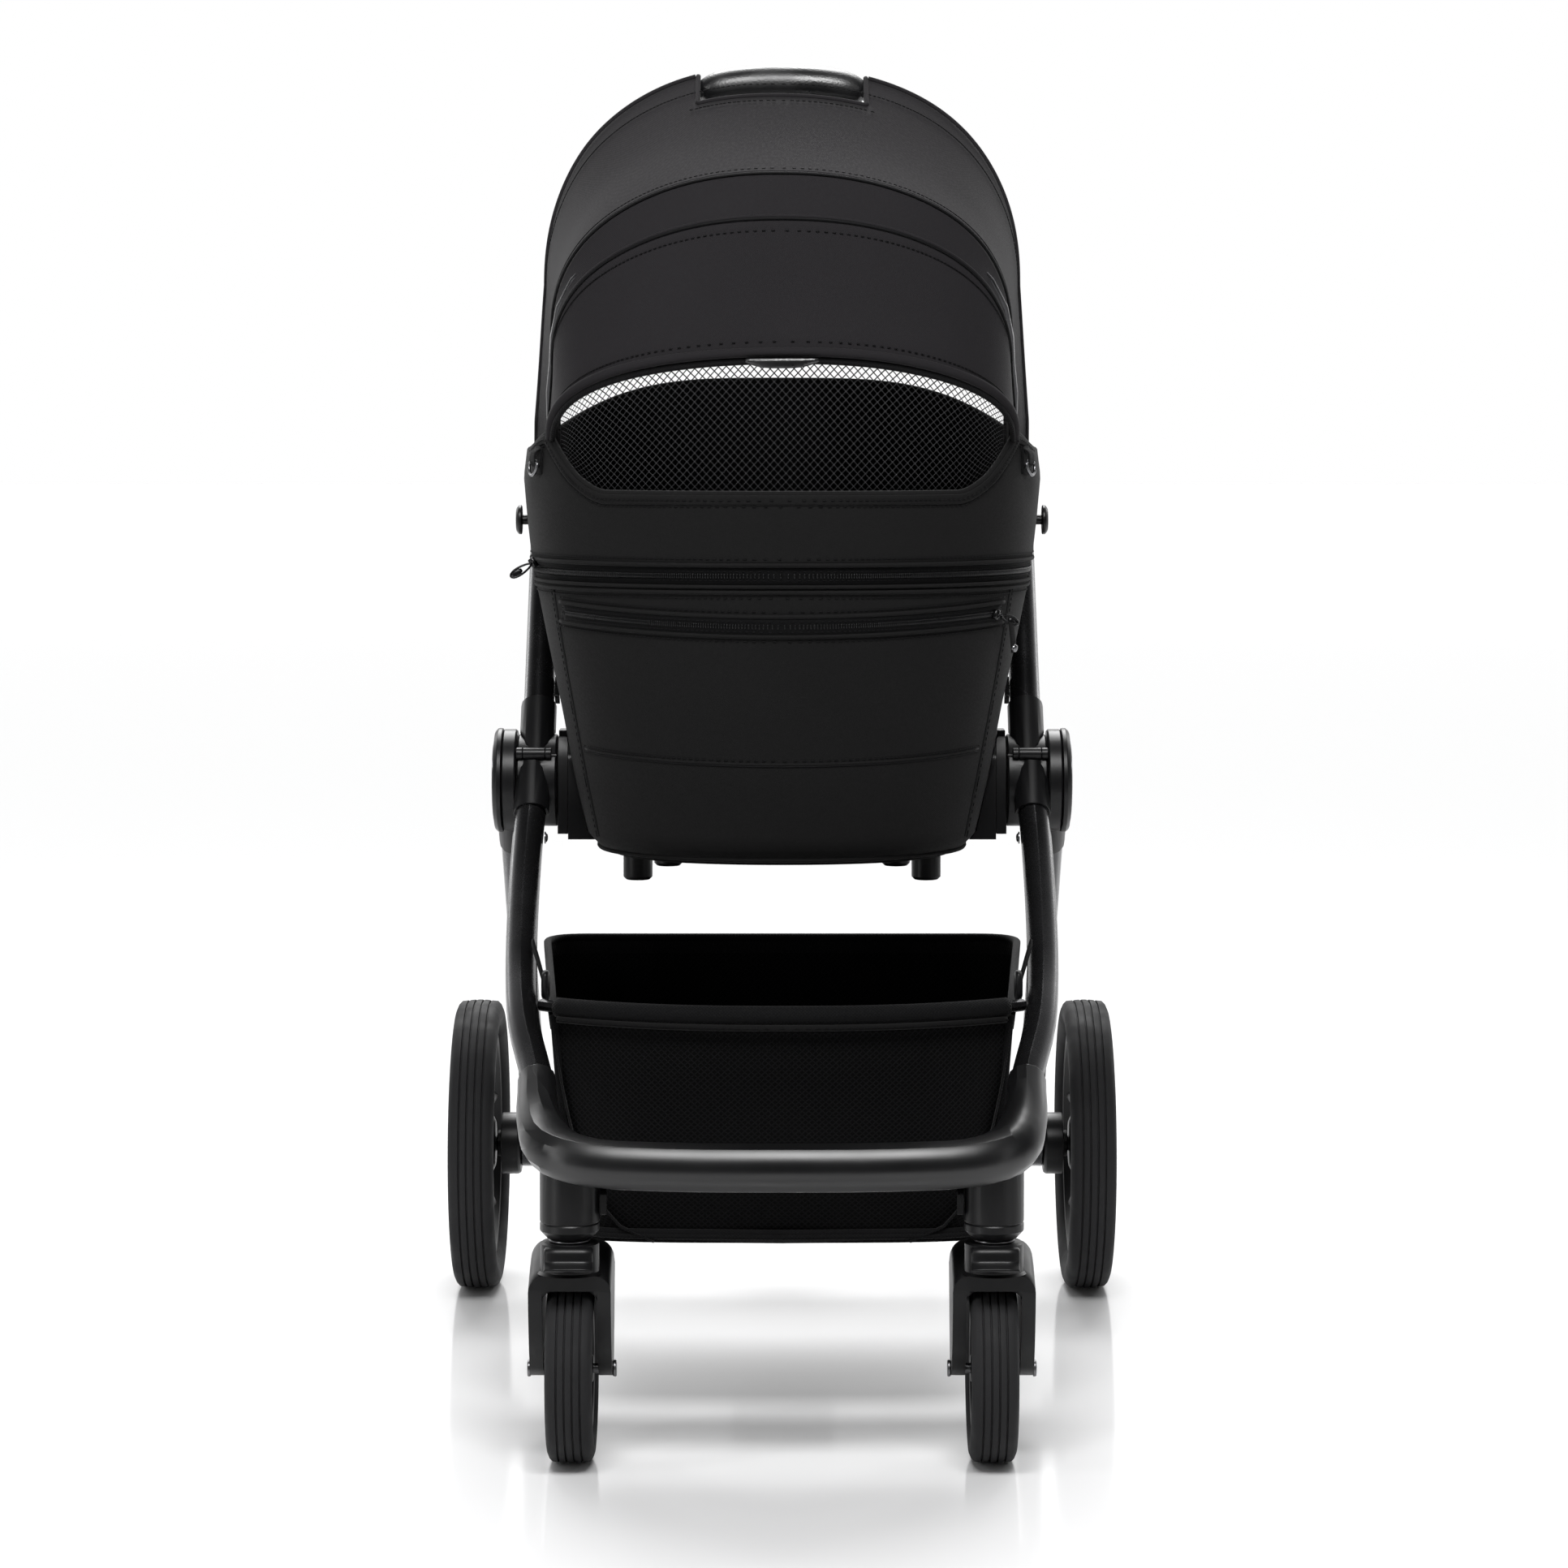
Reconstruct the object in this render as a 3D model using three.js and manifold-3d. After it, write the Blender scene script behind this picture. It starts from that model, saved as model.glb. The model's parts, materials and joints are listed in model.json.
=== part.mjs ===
// A pet stroller: a fabric pet carrier that clips between the hubs of a folding frame
// with two large rear wheels and two swivelling front casters.
// Millimetres, +Z up, the front faces -Y. Left is -X, as seen from the front.
import * as THREE from "three";
import { mergeVertices } from "three/addons/utils/BufferGeometryUtils.js";
import Module from "manifold-3d";

const wasm = await Module();
wasm.setup();

// ---- driving dimensions -------------------------------------------------------------

const GAP = 0.35; // left between pieces that touch
const RUN = 0.6; // left between pieces that move past each other

// Side view distances are from the hub axis, where the rear legs turn.
const HUB = { z: 494, drum: 38, cap: 43, pin: 8 };
const REAR_WHEEL = { x: 275, y: 350, radius: 130, width: 40.5, rim: 107 };
const CASTER = { x: 160, y: -320, trail: 30 };
const FRONT_WHEEL = { y: CASTER.y + CASTER.trail, radius: 71, width: 36, rim: 50 };

// The hub is a stack. Each layer gives its inner and outer distance from the centre plane.
const STACK = {
  bracket: [150, 175],
  adaptor: [175.35, 183.7],
  drum: [184.3, 216.7],
  rear: [217.6, 229],
  cap: [229.35, 236],
};

// Frame tubes: half-width across the stroller and half-depth along it.
const LEG = { x: 12.5, y: 15 };
const PUSH = { x: 12.5, y: 15, at: 201, foot: 39, top: 330, bore: 150 };
const REAR_LEG = { x: 11.5, y: 14, at: 223.5 };
const SLEEVE_WALL = 2.2;

// The push tube and the top of the leg lie on one sloping line that passes ahead of the hub axis.
const PUSH_ANGLE = THREE.MathUtils.degToRad(52);
const LINE_OFFSET = 22.5;
// The fold turns about a pin on the outer surface of their sleeves.
const FOLD_OFFSET = LINE_OFFSET + LEG.y + SLEEVE_WALL;
const FOLD_EYE = { radius: 5, pin: 2.6, middle: [193.6, 211.4], reach: 217 };

const HANDLE = { z: 1008, y: 425, across: 9.6, deep: 12, grip: 15, gripHalf: 128 };

// The bar across the front, at its lowest point.
const BAR = { z: 236, y: -350, halfHeight: 18.5, halfDepth: 20 };

// Carrier: an oval tub, widest above its zip, under an arched hood.
const TUB = { y: -15, wall: 6, power: 2.3, floor: 452 };
// Its outline at some heights: half-width and half-length.
const TUB_LEVELS = [
  { z: 440, half: 138, length: 120 },
  { z: 444, half: 150, length: 132 },
  { z: 455, half: 160, length: 142 },
  { z: 560, half: 182, length: 162 },
  { z: 672, half: 205, length: 178 },
  { z: 745, half: 212, length: 182 },
  { z: 830, half: 204, length: 176 },
];
const TUB_RIM = { front: 734, horn: 775, side: 765, rear: 822, windowHalf: 138, hornHalf: 190 };
const HOOD = {
  pivotZ: 709, shoulderZ: 900, topZ: 1077, half: 192, flare: 0.075, flareEnd: 790, power: 2.3,
  wall: 4, hemZ: 752, pivotHalf: 186,
};
// Hood stations: degrees ahead of upright, reach from the pivot at the centre, width share.
const ARCH = { angle: 0, reach: HOOD.topZ - HOOD.pivotZ, width: 1 };
const SEAM_REAR = { angle: 27.6, reach: 311, width: 1 };
const SEAM_FRONT = { angle: 34.1, reach: 290, width: 1 };
const HOOD_EDGE = { angle: 52.8, reach: 226, width: 0.955 };
// The carrying hoop under the hood's highest line: half-depth and half-thickness of its strap.
const HOOP = { inset: 14, depth: 11, thick: 5.5 };
const CARRY_GRIP = { half: 62, radius: 10.5, notchHalf: 68, notchAngle: 6.2 };

// The window reaches this far round the tub each way, in radians, and up to a curved edge.
const WINDOW = { turn: 1.02, tuck: 10, top: 852, fall: 78 };

const BASKET = {
  rimZ: 336, top: 329, bottom: 140, wall: 4,
  topFrame: { front: -240, rear: 240, frontHalf: 177, rearHalf: 205, corner: 34 },
  bottomFrame: { front: -208, rear: 208, frontHalf: 148, rearHalf: 166, corner: 40 },
};

// ---- colours ------------------------------------------------------------------------

const BLACK_METAL = { color: 0x232326, roughness: 0.32, metalness: 0.85 };
const BLACK_PLASTIC = { color: 0x1d1d1f, roughness: 0.5, metalness: 0 };
const STEEL = { color: 0xb4b6b8, roughness: 0.3, metalness: 1 };
const RUBBER = { color: 0x2a2a2b, roughness: 0.85, metalness: 0 };
const FABRIC = { color: 0x2c2a2d, roughness: 0.95, metalness: 0 };
const MESH_FABRIC = { color: 0x1b1b1c, roughness: 0.95, metalness: 0 };
const LEATHER = { color: 0x161617, roughness: 0.35, metalness: 0 };

// ---- shape helpers ------------------------------------------------------------------

const vec = (x, y, z) => new THREE.Vector3(x, y, z);
const radians = THREE.MathUtils.degToRad;
const mix = THREE.MathUtils.lerp;
const smooth = THREE.MathUtils.smoothstep;

// The same surface with every face turned over.
function turnedOver(geometry) {
  const index = Array.from(geometry.index.array);
  for (let face = 0; face < index.length; face += 3) {
    [index[face + 1], index[face + 2]] = [index[face + 2], index[face + 1]];
  }
  geometry.setIndex(index);
  geometry.computeVertexNormals();
  return geometry;
}

// A closed surface, welded at its seams, with its faces pointing out.
function facingOut(geometry) {
  const bare = geometry.clone();
  bare.deleteAttribute("normal");
  bare.deleteAttribute("uv");
  const welded = mergeVertices(bare, 1e-4);
  const corner = (i) => new THREE.Vector3().fromBufferAttribute(welded.attributes.position, i);
  const index = welded.index.array;
  const kept = [];
  let volume = 0;
  for (let face = 0; face < index.length; face += 3) {
    const [a, b, c] = index.slice(face, face + 3);
    if (a !== b && b !== c && c !== a) {
      kept.push(a, b, c);
      volume += corner(a).dot(corner(b).cross(corner(c)));
    }
  }
  welded.setIndex(kept);
  welded.computeVertexNormals();
  return volume < 0 ? turnedOver(welded) : welded;
}

// A closed mesh as a solid that can be joined and cut.
function solidOf(geometry) {
  const closed = facingOut(geometry);
  return new wasm.Manifold(new wasm.Mesh({
    numProp: 3,
    vertProperties: new Float32Array(closed.attributes.position.array),
    triVerts: new Uint32Array(closed.index.array),
  }));
}

function geometryOf(solid) {
  const mesh = solid.getMesh();
  const geometry = new THREE.BufferGeometry();
  geometry.setAttribute("position", new THREE.BufferAttribute(mesh.vertProperties, 3));
  geometry.setIndex(new THREE.BufferAttribute(mesh.triVerts, 1));
  geometry.computeVertexNormals();
  return geometry;
}

function join(first, ...others) {
  return geometryOf(others.reduce((all, next) => all.add(solidOf(next)), solidOf(first)));
}

function cut(body, ...tools) {
  return geometryOf(tools.reduce((left, tool) => left.subtract(solidOf(tool)), solidOf(body)));
}

// A box between two opposite corners.
function block(low, high) {
  const size = high.map((value, axis) => value - low[axis]);
  const middle = high.map((value, axis) => (value + low[axis]) / 2);
  return new THREE.BoxGeometry(...size).translate(...middle);
}

// A profile of [radius, distance along the axis] turned about the X axis, then moved to y, z.
function turnedOnX(profile, y, z, sides = 32) {
  const points = profile.map(([radius, along]) => new THREE.Vector2(radius, along));
  return new THREE.LatheGeometry(points, sides).rotateZ(-Math.PI / 2).translate(0, y, z);
}

// A profile of [radius, height] turned about an upright axis at x, y.
function turnedOnZ(profile, x, y, sides = 32) {
  const points = profile.map(([radius, height]) => new THREE.Vector2(radius, height));
  return new THREE.LatheGeometry(points, sides).rotateX(Math.PI / 2).translate(x, y, 0);
}

// A plain disc on the X axis between two distances, with a small chamfer.
function disc(radius, [inner, outer], y, z, sides = 32, chamfer = 1.2) {
  return turnedOnX([
    [0, inner], [radius - chamfer, inner], [radius, inner + chamfer],
    [radius, outer - chamfer], [radius - chamfer, outer], [0, outer],
  ], y, z, sides);
}

// An oval of half-sizes a and b as an extrusion section.
function oval(a, b, sides = 12) {
  const shape = new THREE.Shape();
  for (let i = 0; i < sides; i += 1) {
    const angle = (i / sides) * 2 * Math.PI;
    const method = i === 0 ? "moveTo" : "lineTo";
    shape[method](a * Math.cos(angle), b * Math.sin(angle));
  }
  return shape;
}

// A tube of oval section through a list of points, straight from one to the next if straight.
function tube(points, a, b, steps, sides = 12) {
  const curve = points.length === 2
    ? new THREE.LineCurve3(...points)
    : new THREE.CatmullRomCurve3(points, false, "centripetal");
  return new THREE.ExtrudeGeometry(oval(a, b, sides), {
    extrudePath: curve, steps, bevelEnabled: false,
  });
}

// A flat outline in the side view, given as [y, z] points, as thick as from x low to x high.
function sidePlate(outline, [low, high]) {
  const shape = new THREE.Shape(outline.map(([y, z]) => new THREE.Vector2(y, z)));
  return new THREE.ExtrudeGeometry(shape, { depth: high - low, bevelEnabled: false })
    .rotateX(Math.PI / 2).rotateZ(Math.PI / 2).translate(low, 0, 0);
}

// A closed skin over rings of points, the first and last ring closed by a fan.
function loft(rings) {
  const count = rings[0].length;
  const points = rings.flat();
  const index = [];
  const at = (ring, i) => ring * count + (i % count);
  for (let ring = 0; ring + 1 < rings.length; ring += 1) {
    for (let i = 0; i < count; i += 1) {
      index.push(at(ring, i), at(ring, i + 1), at(ring + 1, i));
      index.push(at(ring + 1, i), at(ring, i + 1), at(ring + 1, i + 1));
    }
  }
  for (const [ring, turn] of [[0, 1], [rings.length - 1, 0]]) {
    const centre = rings[ring].reduce((sum, p) => sum.add(p), vec(0, 0, 0)).divideScalar(count);
    const middle = points.push(centre) - 1;
    for (let i = 0; i < count; i += 1) {
      const pair = [at(ring, i), at(ring, i + 1)];
      index.push(middle, pair[turn], pair[1 - turn]);
    }
  }
  return facingOut(new THREE.BufferGeometry().setFromPoints(points).setIndex(index));
}

// A closed skin between two equal grids of points, an outer and an inner surface.
function slab(outer, inner) {
  const [rows, columns] = [outer.length, outer[0].length];
  const points = [...outer.flat(), ...inner.flat()];
  const at = (row, column, side) => (side * rows + row) * columns + column;
  const index = [];
  const quad = (a, b, c, d) => index.push(a, b, c, a, c, d);
  for (let row = 0; row + 1 < rows; row += 1) {
    for (let column = 0; column + 1 < columns; column += 1) {
      const corners = (side) => [
        at(row, column, side), at(row, column + 1, side),
        at(row + 1, column + 1, side), at(row + 1, column, side),
      ];
      quad(...corners(0));
      quad(...corners(1).reverse());
    }
    quad(at(row, 0, 0), at(row + 1, 0, 0), at(row + 1, 0, 1), at(row, 0, 1));
    const last = columns - 1;
    quad(at(row, last, 1), at(row + 1, last, 1), at(row + 1, last, 0), at(row, last, 0));
  }
  for (let column = 0; column + 1 < columns; column += 1) {
    quad(at(0, column, 1), at(0, column + 1, 1), at(0, column + 1, 0), at(0, column, 0));
    const end = rows - 1;
    quad(at(end, column, 0), at(end, column + 1, 0), at(end, column + 1, 1), at(end, column, 1));
  }
  return facingOut(new THREE.BufferGeometry().setFromPoints(points).setIndex(index));
}

// The same shape on the other side of the centre plane.
function mirrored(geometry) {
  return facingOut(geometry.clone().scale(-1, 1, 1));
}

// ---- assembly -----------------------------------------------------------------------

const stroller = new THREE.Group();

function addMesh(name, geometry, look) {
  const mesh = new THREE.Mesh(facingOut(geometry), new THREE.MeshStandardMaterial(look));
  mesh.name = name;
  stroller.add(mesh);
}

// Adds a piece made for the right side, and its mirror image on the left.
function addPair(name, geometry, look) {
  addMesh(`${name}_right`, geometry, look);
  addMesh(`${name}_left`, mirrored(geometry), look);
}

// ---- wheels -------------------------------------------------------------------------

// A tyre's section: flat inside on the rim, bulging sides and a crowned tread.
function tyre(wheel, x, y, sides) {
  const half = wheel.width / 2;
  const wall = wheel.radius - wheel.rim;
  const at = (share) => wheel.rim + GAP + (wall - GAP) * share;
  const section = [
    [at(0), -0.72], [at(0.4), -1], [at(0.82), -0.84], [at(1), -0.36],
    [at(1), 0.36], [at(0.82), 0.84], [at(0.4), 1], [at(0), 0.72], [at(0), -0.72],
  ];
  const profile = section.map(([radius, share]) => [radius, x + share * half]);
  return turnedOnX(profile, y, wheel.radius, sides);
}

// A rim ring, its hub and the spokes between them.
function spokedRim(wheel, x, y, { hub, hubHalf, bore, spokes, ringWall, sides }) {
  const half = wheel.width * 0.34;
  const ring = turnedOnX([
    [wheel.rim, x - half], [wheel.rim, x + half], [wheel.rim - ringWall, x + half * 0.6],
    [wheel.rim - ringWall, x - half * 0.6], [wheel.rim, x - half],
  ], y, wheel.radius, sides);
  const boss = turnedOnX([
    [bore, x - hubHalf], [hub, x - hubHalf], [hub, x + hubHalf], [bore, x + hubHalf],
    [bore, x - hubHalf],
  ], y, wheel.radius, 16);
  const parts = [boss];
  for (let i = 0; i < spokes; i += 1) {
    const arm = block(
      [x - hubHalf * 0.55, -hub * 0.34, hub * 0.8],
      [x + hubHalf * 0.55, hub * 0.34, wheel.rim - ringWall * 0.6],
    );
    parts.push(arm.rotateX((i / spokes) * 2 * Math.PI).translate(0, y, wheel.radius));
  }
  return join(ring, ...parts);
}

function addRearWheels() {
  const { x, y } = REAR_WHEEL;
  addPair("rear_tyre", tyre(REAR_WHEEL, x, y, 34), RUBBER);
  const rim = spokedRim(REAR_WHEEL, x, y, {
    hub: 24, hubHalf: 15, bore: 7.5, spokes: 6, ringWall: 14, sides: 34,
  });
  addPair("rear_rim", rim, BLACK_PLASTIC);
}

function addFrontWheels() {
  const { y } = FRONT_WHEEL;
  addPair("front_tyre", tyre(FRONT_WHEEL, CASTER.x, y, 28), RUBBER);
  const rim = spokedRim(FRONT_WHEEL, CASTER.x, y, {
    hub: 15, hubHalf: 17, bore: 4.6, spokes: 5, ringWall: 10, sides: 28,
  });
  addPair("front_rim", rim, BLACK_PLASTIC);
}

// ---- casters ------------------------------------------------------------------------

const FORK = { half: 31, slot: 22.3, neck: 22, top: 169, shoulder: 152, crown: 126, boss: 13 };

// Two trailing blades under an arched crown, with the swivel stem moulded in.
function casterFork() {
  const axleZ = FRONT_WHEEL.radius;
  const { trail } = CASTER;
  const rear = trail + FORK.boss;
  const outline = [
    [-26, FORK.shoulder], [-28, FORK.crown], [-19, 108], [trail - 12, axleZ - 3],
    [trail - 6, axleZ - 11], [trail + 6, axleZ - 11], [rear, axleZ], [rear, 110],
    [rear - 1, FORK.shoulder - 8], [rear - 8, FORK.shoulder],
  ];
  const blade = sidePlate(outline, [FORK.slot, FORK.half]);
  const otherBlade = sidePlate(outline, [-FORK.half, -FORK.slot]);
  const front = new THREE.Shape([
    [-FORK.half, FORK.crown], [FORK.half, FORK.crown], [FORK.half, FORK.shoulder],
    [FORK.neck + 4, FORK.shoulder + 7], [FORK.neck, FORK.top], [-FORK.neck, FORK.top],
    [-FORK.neck - 4, FORK.shoulder + 7], [-FORK.half, FORK.shoulder],
  ].map(([x, z]) => new THREE.Vector2(x, z)));
  const depth = rear + 20;
  const crown = new THREE.ExtrudeGeometry(front, { depth, bevelEnabled: false })
    .rotateX(Math.PI / 2).translate(0, rear - 4, 0);
  const wheelRoom = turnedOnX([
    [0, -FORK.slot], [FRONT_WHEEL.radius + 4, -FORK.slot],
    [FRONT_WHEEL.radius + 4, FORK.slot], [0, FORK.slot],
  ], trail, axleZ, 32);
  const axleHole = turnedOnX([[0, -40], [4 + GAP, -40], [4 + GAP, 40], [0, 40]], trail, axleZ, 12);
  const stem = turnedOnZ([
    [0, FORK.top - 6], [15, FORK.top - 6], [15, FORK.top + 3], [10, FORK.top + 5],
    [HUB.pin, FORK.top + 5], [HUB.pin, 220], [0, 220],
  ], 0, 0, 20);
  const fork = cut(join(cut(crown, wheelRoom), blade, otherBlade), axleHole);
  return join(fork, stem).translate(CASTER.x, CASTER.y, 0);
}

function frontAxle() {
  const reach = FORK.half;
  return turnedOnX([
    [0, -reach - 3], [6.5, -reach - 3], [6.5, -reach - GAP], [4, -reach - GAP],
    [4, reach + GAP], [6.5, reach + GAP], [6.5, reach + 3], [0, reach + 3],
  ], FRONT_WHEEL.y, FRONT_WHEEL.radius, 12).translate(CASTER.x, 0, 0);
}

// The socket under the front bar that the stem turns in. The bar is cut out of its top.
function swivelHousing(bar) {
  const low = FORK.top + 9;
  const shell = turnedOnZ([
    [HUB.pin + RUN, low], [17, low], [22.5, low + 6], [22.5, low + 11], [21.8, low + 12],
    [22.5, low + 13], [22.5, 246], [0, 246], [0, 222], [HUB.pin + RUN, 222], [HUB.pin + RUN, low],
  ], CASTER.x, CASTER.y, 24);
  return cut(shell, bar);
}

// A slider on the inner side of the housing that stops the caster from swivelling.
function swivelLock() {
  const x = CASTER.x - 22.5 - RUN;
  return sidePlate([
    [CASTER.y - 7, 196], [CASTER.y + 7, 196], [CASTER.y + 7, 212], [CASTER.y + 3, 217],
    [CASTER.y - 3, 217], [CASTER.y - 7, 212],
  ], [x - 5, x]);
}

function addCasters(bar) {
  addPair("caster_fork", casterFork(), BLACK_PLASTIC);
  addPair("front_axle", frontAxle(), STEEL);
  addPair("swivel_housing", swivelHousing(bar), BLACK_PLASTIC);
  addPair("swivel_lock", swivelLock(), BLACK_PLASTIC);
}

// ---- front frame --------------------------------------------------------------------

// A point on the line of the push tube and the leg, at a distance along it from where it
// passes nearest the hub axis, above 0 towards the handle, and offset ahead of the hub axis.
function onFrameLine(x, along, offset = LINE_OFFSET) {
  return vec(
    x,
    along * Math.cos(PUSH_ANGLE) - offset * Math.sin(PUSH_ANGLE),
    HUB.z + along * Math.sin(PUSH_ANGLE) + offset * Math.cos(PUSH_ANGLE),
  );
}

const FOLD_AXIS = onFrameLine(0, 0, FOLD_OFFSET);

// A sleeve on the frame line, cut clear of the hub's discs.
function lineSleeve(x, from, to) {
  const sleeve = tube(
    [onFrameLine(x, from), onFrameLine(x, to)],
    LEG.x + SLEEVE_WALL, LEG.y + SLEEVE_WALL, 1, 14,
  );
  const rearDiscs = turnedOnX([
    [0, STACK.drum[1] + GAP], [HUB.cap + RUN, STACK.drum[1] + GAP],
    [HUB.cap + RUN, STACK.cap[1] + 5], [0, STACK.cap[1] + 5],
  ], 0, HUB.z, 28);
  return cut(sleeve, rearDiscs);
}

// The leg leaves the hub steeply, bows outwards and flattens towards the front bar.
const LEG_TOP = -39;
const LEG_PATH = [
  onFrameLine(204.2, LEG_TOP), onFrameLine(206, -72), vec(207, -110, 402), vec(205.5, -163, 355),
  vec(200, -214, 321), vec(187.7, -262.6, 288.5), vec(186.9, -274, 280),
];

function frontLeg(extra = 0) {
  const path = [onFrameLine(204.2, LEG_TOP + extra), ...LEG_PATH.slice(1)];
  return tube(path, LEG.x + extra, LEG.y + extra, 16, 12);
}

// The drum beside the carrier, with the leg's sleeve and two eyes for the fold pin.
function hubBody() {
  const drum = disc(HUB.drum, STACK.drum, 0, HUB.z, 28);
  const sleeve = lineSleeve(204.2, -1.5, -47);
  const [eyeIn, eyeOut] = FOLD_EYE.middle;
  const eyes = [[STACK.drum[0] + 4, eyeIn - GAP], [eyeOut + GAP, FOLD_EYE.reach]].map(
    (span) => disc(FOLD_EYE.radius, span, FOLD_AXIS.y, FOLD_AXIS.z, 12, 0.5),
  );
  const pocket = disc(
    FOLD_EYE.radius + RUN, [eyeIn - GAP, eyeOut + GAP], FOLD_AXIS.y, FOLD_AXIS.z, 12, 0,
  );
  const foldPin = disc(FOLD_EYE.pin + GAP, [180, 230], FOLD_AXIS.y, FOLD_AXIS.z, 12, 0);
  const hubPin = disc(HUB.pin + GAP, [198, 230], 0, HUB.z, 16, 0);
  const body = cut(join(drum, sleeve), pocket);
  return cut(join(body, ...eyes), foldPin, hubPin, frontLeg(GAP));
}

// The right half of the front bar, from the leg joint to the centre plane.
const HALF_BAR = [
  vec(187.7, -262.6, 288.5), vec(184, -298, 262), vec(172, -326, 246), vec(146, -341, 239),
  vec(90, -348, 236.5),
];
const BAR_PATH = [
  ...HALF_BAR, vec(0, BAR.y, BAR.z), ...HALF_BAR.toReversed().map((p) => vec(-p.x, p.y, p.z)),
];

// The bar's section grows from a socket around the leg to a deeper, squarer one in front.
function frontBar(extra = 0) {
  const curve = new THREE.CatmullRomCurve3(BAR_PATH, false, "centripetal");
  const steps = 32;
  const sides = 12;
  const rings = [];
  for (let step = 0; step <= steps; step += 1) {
    const share = step / steps;
    const centre = curve.getPoint(share);
    const along = curve.getTangent(share);
    const outwards = vec(-along.y, along.x, 0).normalize();
    const upwards = along.clone().cross(outwards).normalize();
    const grow = smooth(Math.min(share, 1 - share), 0, 0.2);
    const across = mix(LEG.x + SLEEVE_WALL, BAR.halfDepth, grow) + extra;
    const tall = mix(LEG.y + SLEEVE_WALL, BAR.halfHeight, grow) + extra;
    const squareness = mix(1, 0.75, grow);
    const ring = [];
    for (let i = 0; i < sides; i += 1) {
      const angle = (i / sides) * 2 * Math.PI;
      const side = Math.sign(Math.cos(angle)) * Math.abs(Math.cos(angle)) ** squareness;
      ring.push(centre.clone()
        .addScaledVector(outwards, across * side)
        .addScaledVector(upwards, tall * Math.sin(angle)));
    }
    rings.push(ring);
  }
  const solid = loft(rings);
  return extra ? solid : cut(solid, frontLeg(GAP), mirrored(frontLeg(GAP)));
}

// The cross tube that the basket's front edge is sewn around.
function basketRail() {
  const half = [[188.2, -196], [172, -209], [95, -243]].map(([x, y]) => vec(x, y, BASKET.rimZ));
  const otherHalf = half.toReversed().map((p) => vec(-p.x, p.y, p.z));
  const path = [...half, vec(0, -254, BASKET.rimZ), ...otherHalf];
  return cut(tube(path, 4.8, 4.8, 22, 8), frontLeg(GAP), mirrored(frontLeg(GAP)));
}

// One level of the basket: a rounded four-sided outline, wider at the rear.
function basketRing({ front, rear, frontHalf, rearHalf, corner }, z, inset) {
  const shape = new THREE.Shape();
  const [f, r] = [front + inset, rear - inset];
  const [fx, rx] = [frontHalf - inset, rearHalf - inset];
  shape.moveTo(0, f);
  shape.lineTo(fx - corner, f + 6);
  shape.quadraticCurveTo(fx, f + 12, fx + 1, f + corner);
  shape.lineTo(rx, r - corner);
  shape.quadraticCurveTo(rx, r, rx - corner, r);
  shape.lineTo(0, r);
  const right = shape.getSpacedPoints(18);
  const left = right.slice(1, -1).reverse().map((p) => new THREE.Vector2(-p.x, p.y));
  return [...right, ...left].map((p) => vec(p.x, p.y, z));
}

function basketFrame(level, change = 0) {
  const blend = (key) => mix(BASKET.bottomFrame[key], BASKET.topFrame[key], level) + change;
  return {
    front: mix(BASKET.bottomFrame.front, BASKET.topFrame.front, level),
    rear: mix(BASKET.bottomFrame.rear, BASKET.topFrame.rear, level),
    frontHalf: blend("frontHalf"), rearHalf: blend("rearHalf"), corner: blend("corner"),
  };
}

// A mesh basket, open at the top.
function basket() {
  const { top, bottom, wall } = BASKET;
  const outside = [
    [bottom, 14, 0], [bottom + 5, 4, 0], [bottom + 16, 0, 0.08], [240, 0, 0.55], [top, 0, 1],
  ];
  const inside = [
    [top, wall, 1], [240, wall, 0.55], [bottom + 16, wall, 0.08], [bottom + wall, 14, 0],
  ];
  return loft([...outside, ...inside].map(
    ([z, inset, level]) => basketRing(basketFrame(level), z, inset),
  ));
}

function addFrontFrame(bar) {
  addPair("front_leg", frontLeg(), BLACK_METAL);
  addMesh("front_bar", bar, BLACK_PLASTIC);
  addPair("hub_body", hubBody(), BLACK_PLASTIC);
  addMesh("basket_rail", basketRail(), BLACK_METAL);
  addMesh("basket", basket(), MESH_FABRIC);
}

// ---- rear frame ---------------------------------------------------------------------

const AXLE = { y: REAR_WHEEL.y, z: REAR_WHEEL.radius };
const REAR_SPAN = Math.hypot(AXLE.y, HUB.z - AXLE.z);

// A point on the rear leg's line, at a distance from the hub axis.
function onRearLine(distance) {
  const share = distance / REAR_SPAN;
  return vec(REAR_LEG.at, AXLE.y * share, mix(HUB.z, AXLE.z, share));
}

function rearLeg(extra = 0) {
  const ends = [onRearLine(HUB.cap + 4 - extra), onRearLine(REAR_SPAN - 4)];
  return tube(ends, REAR_LEG.x + extra, REAR_LEG.y + extra, 1, 12);
}

// The disc that turns on the hub pin, with the socket that holds the rear leg.
function rearKnuckle() {
  const wall = 1.5;
  const socket = tube(
    [onRearLine(20), onRearLine(HUB.cap + 34)], REAR_LEG.x + wall, REAR_LEG.y + wall, 1, 14,
  );
  const capRoom = disc(HUB.cap + GAP, [STACK.cap[0] - GAP, 250], 0, HUB.z, 28, 0);
  const drumRoom = disc(HUB.drum + RUN, [150, STACK.rear[0]], 0, HUB.z, 28, 0);
  const plate = disc(HUB.cap - 1, STACK.rear, 0, HUB.z, 28);
  const bore = disc(HUB.pin + GAP, [200, 250], 0, HUB.z, 16, 0);
  return cut(join(plate, cut(socket, capRoom, drumRoom)), rearLeg(GAP), bore);
}

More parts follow.
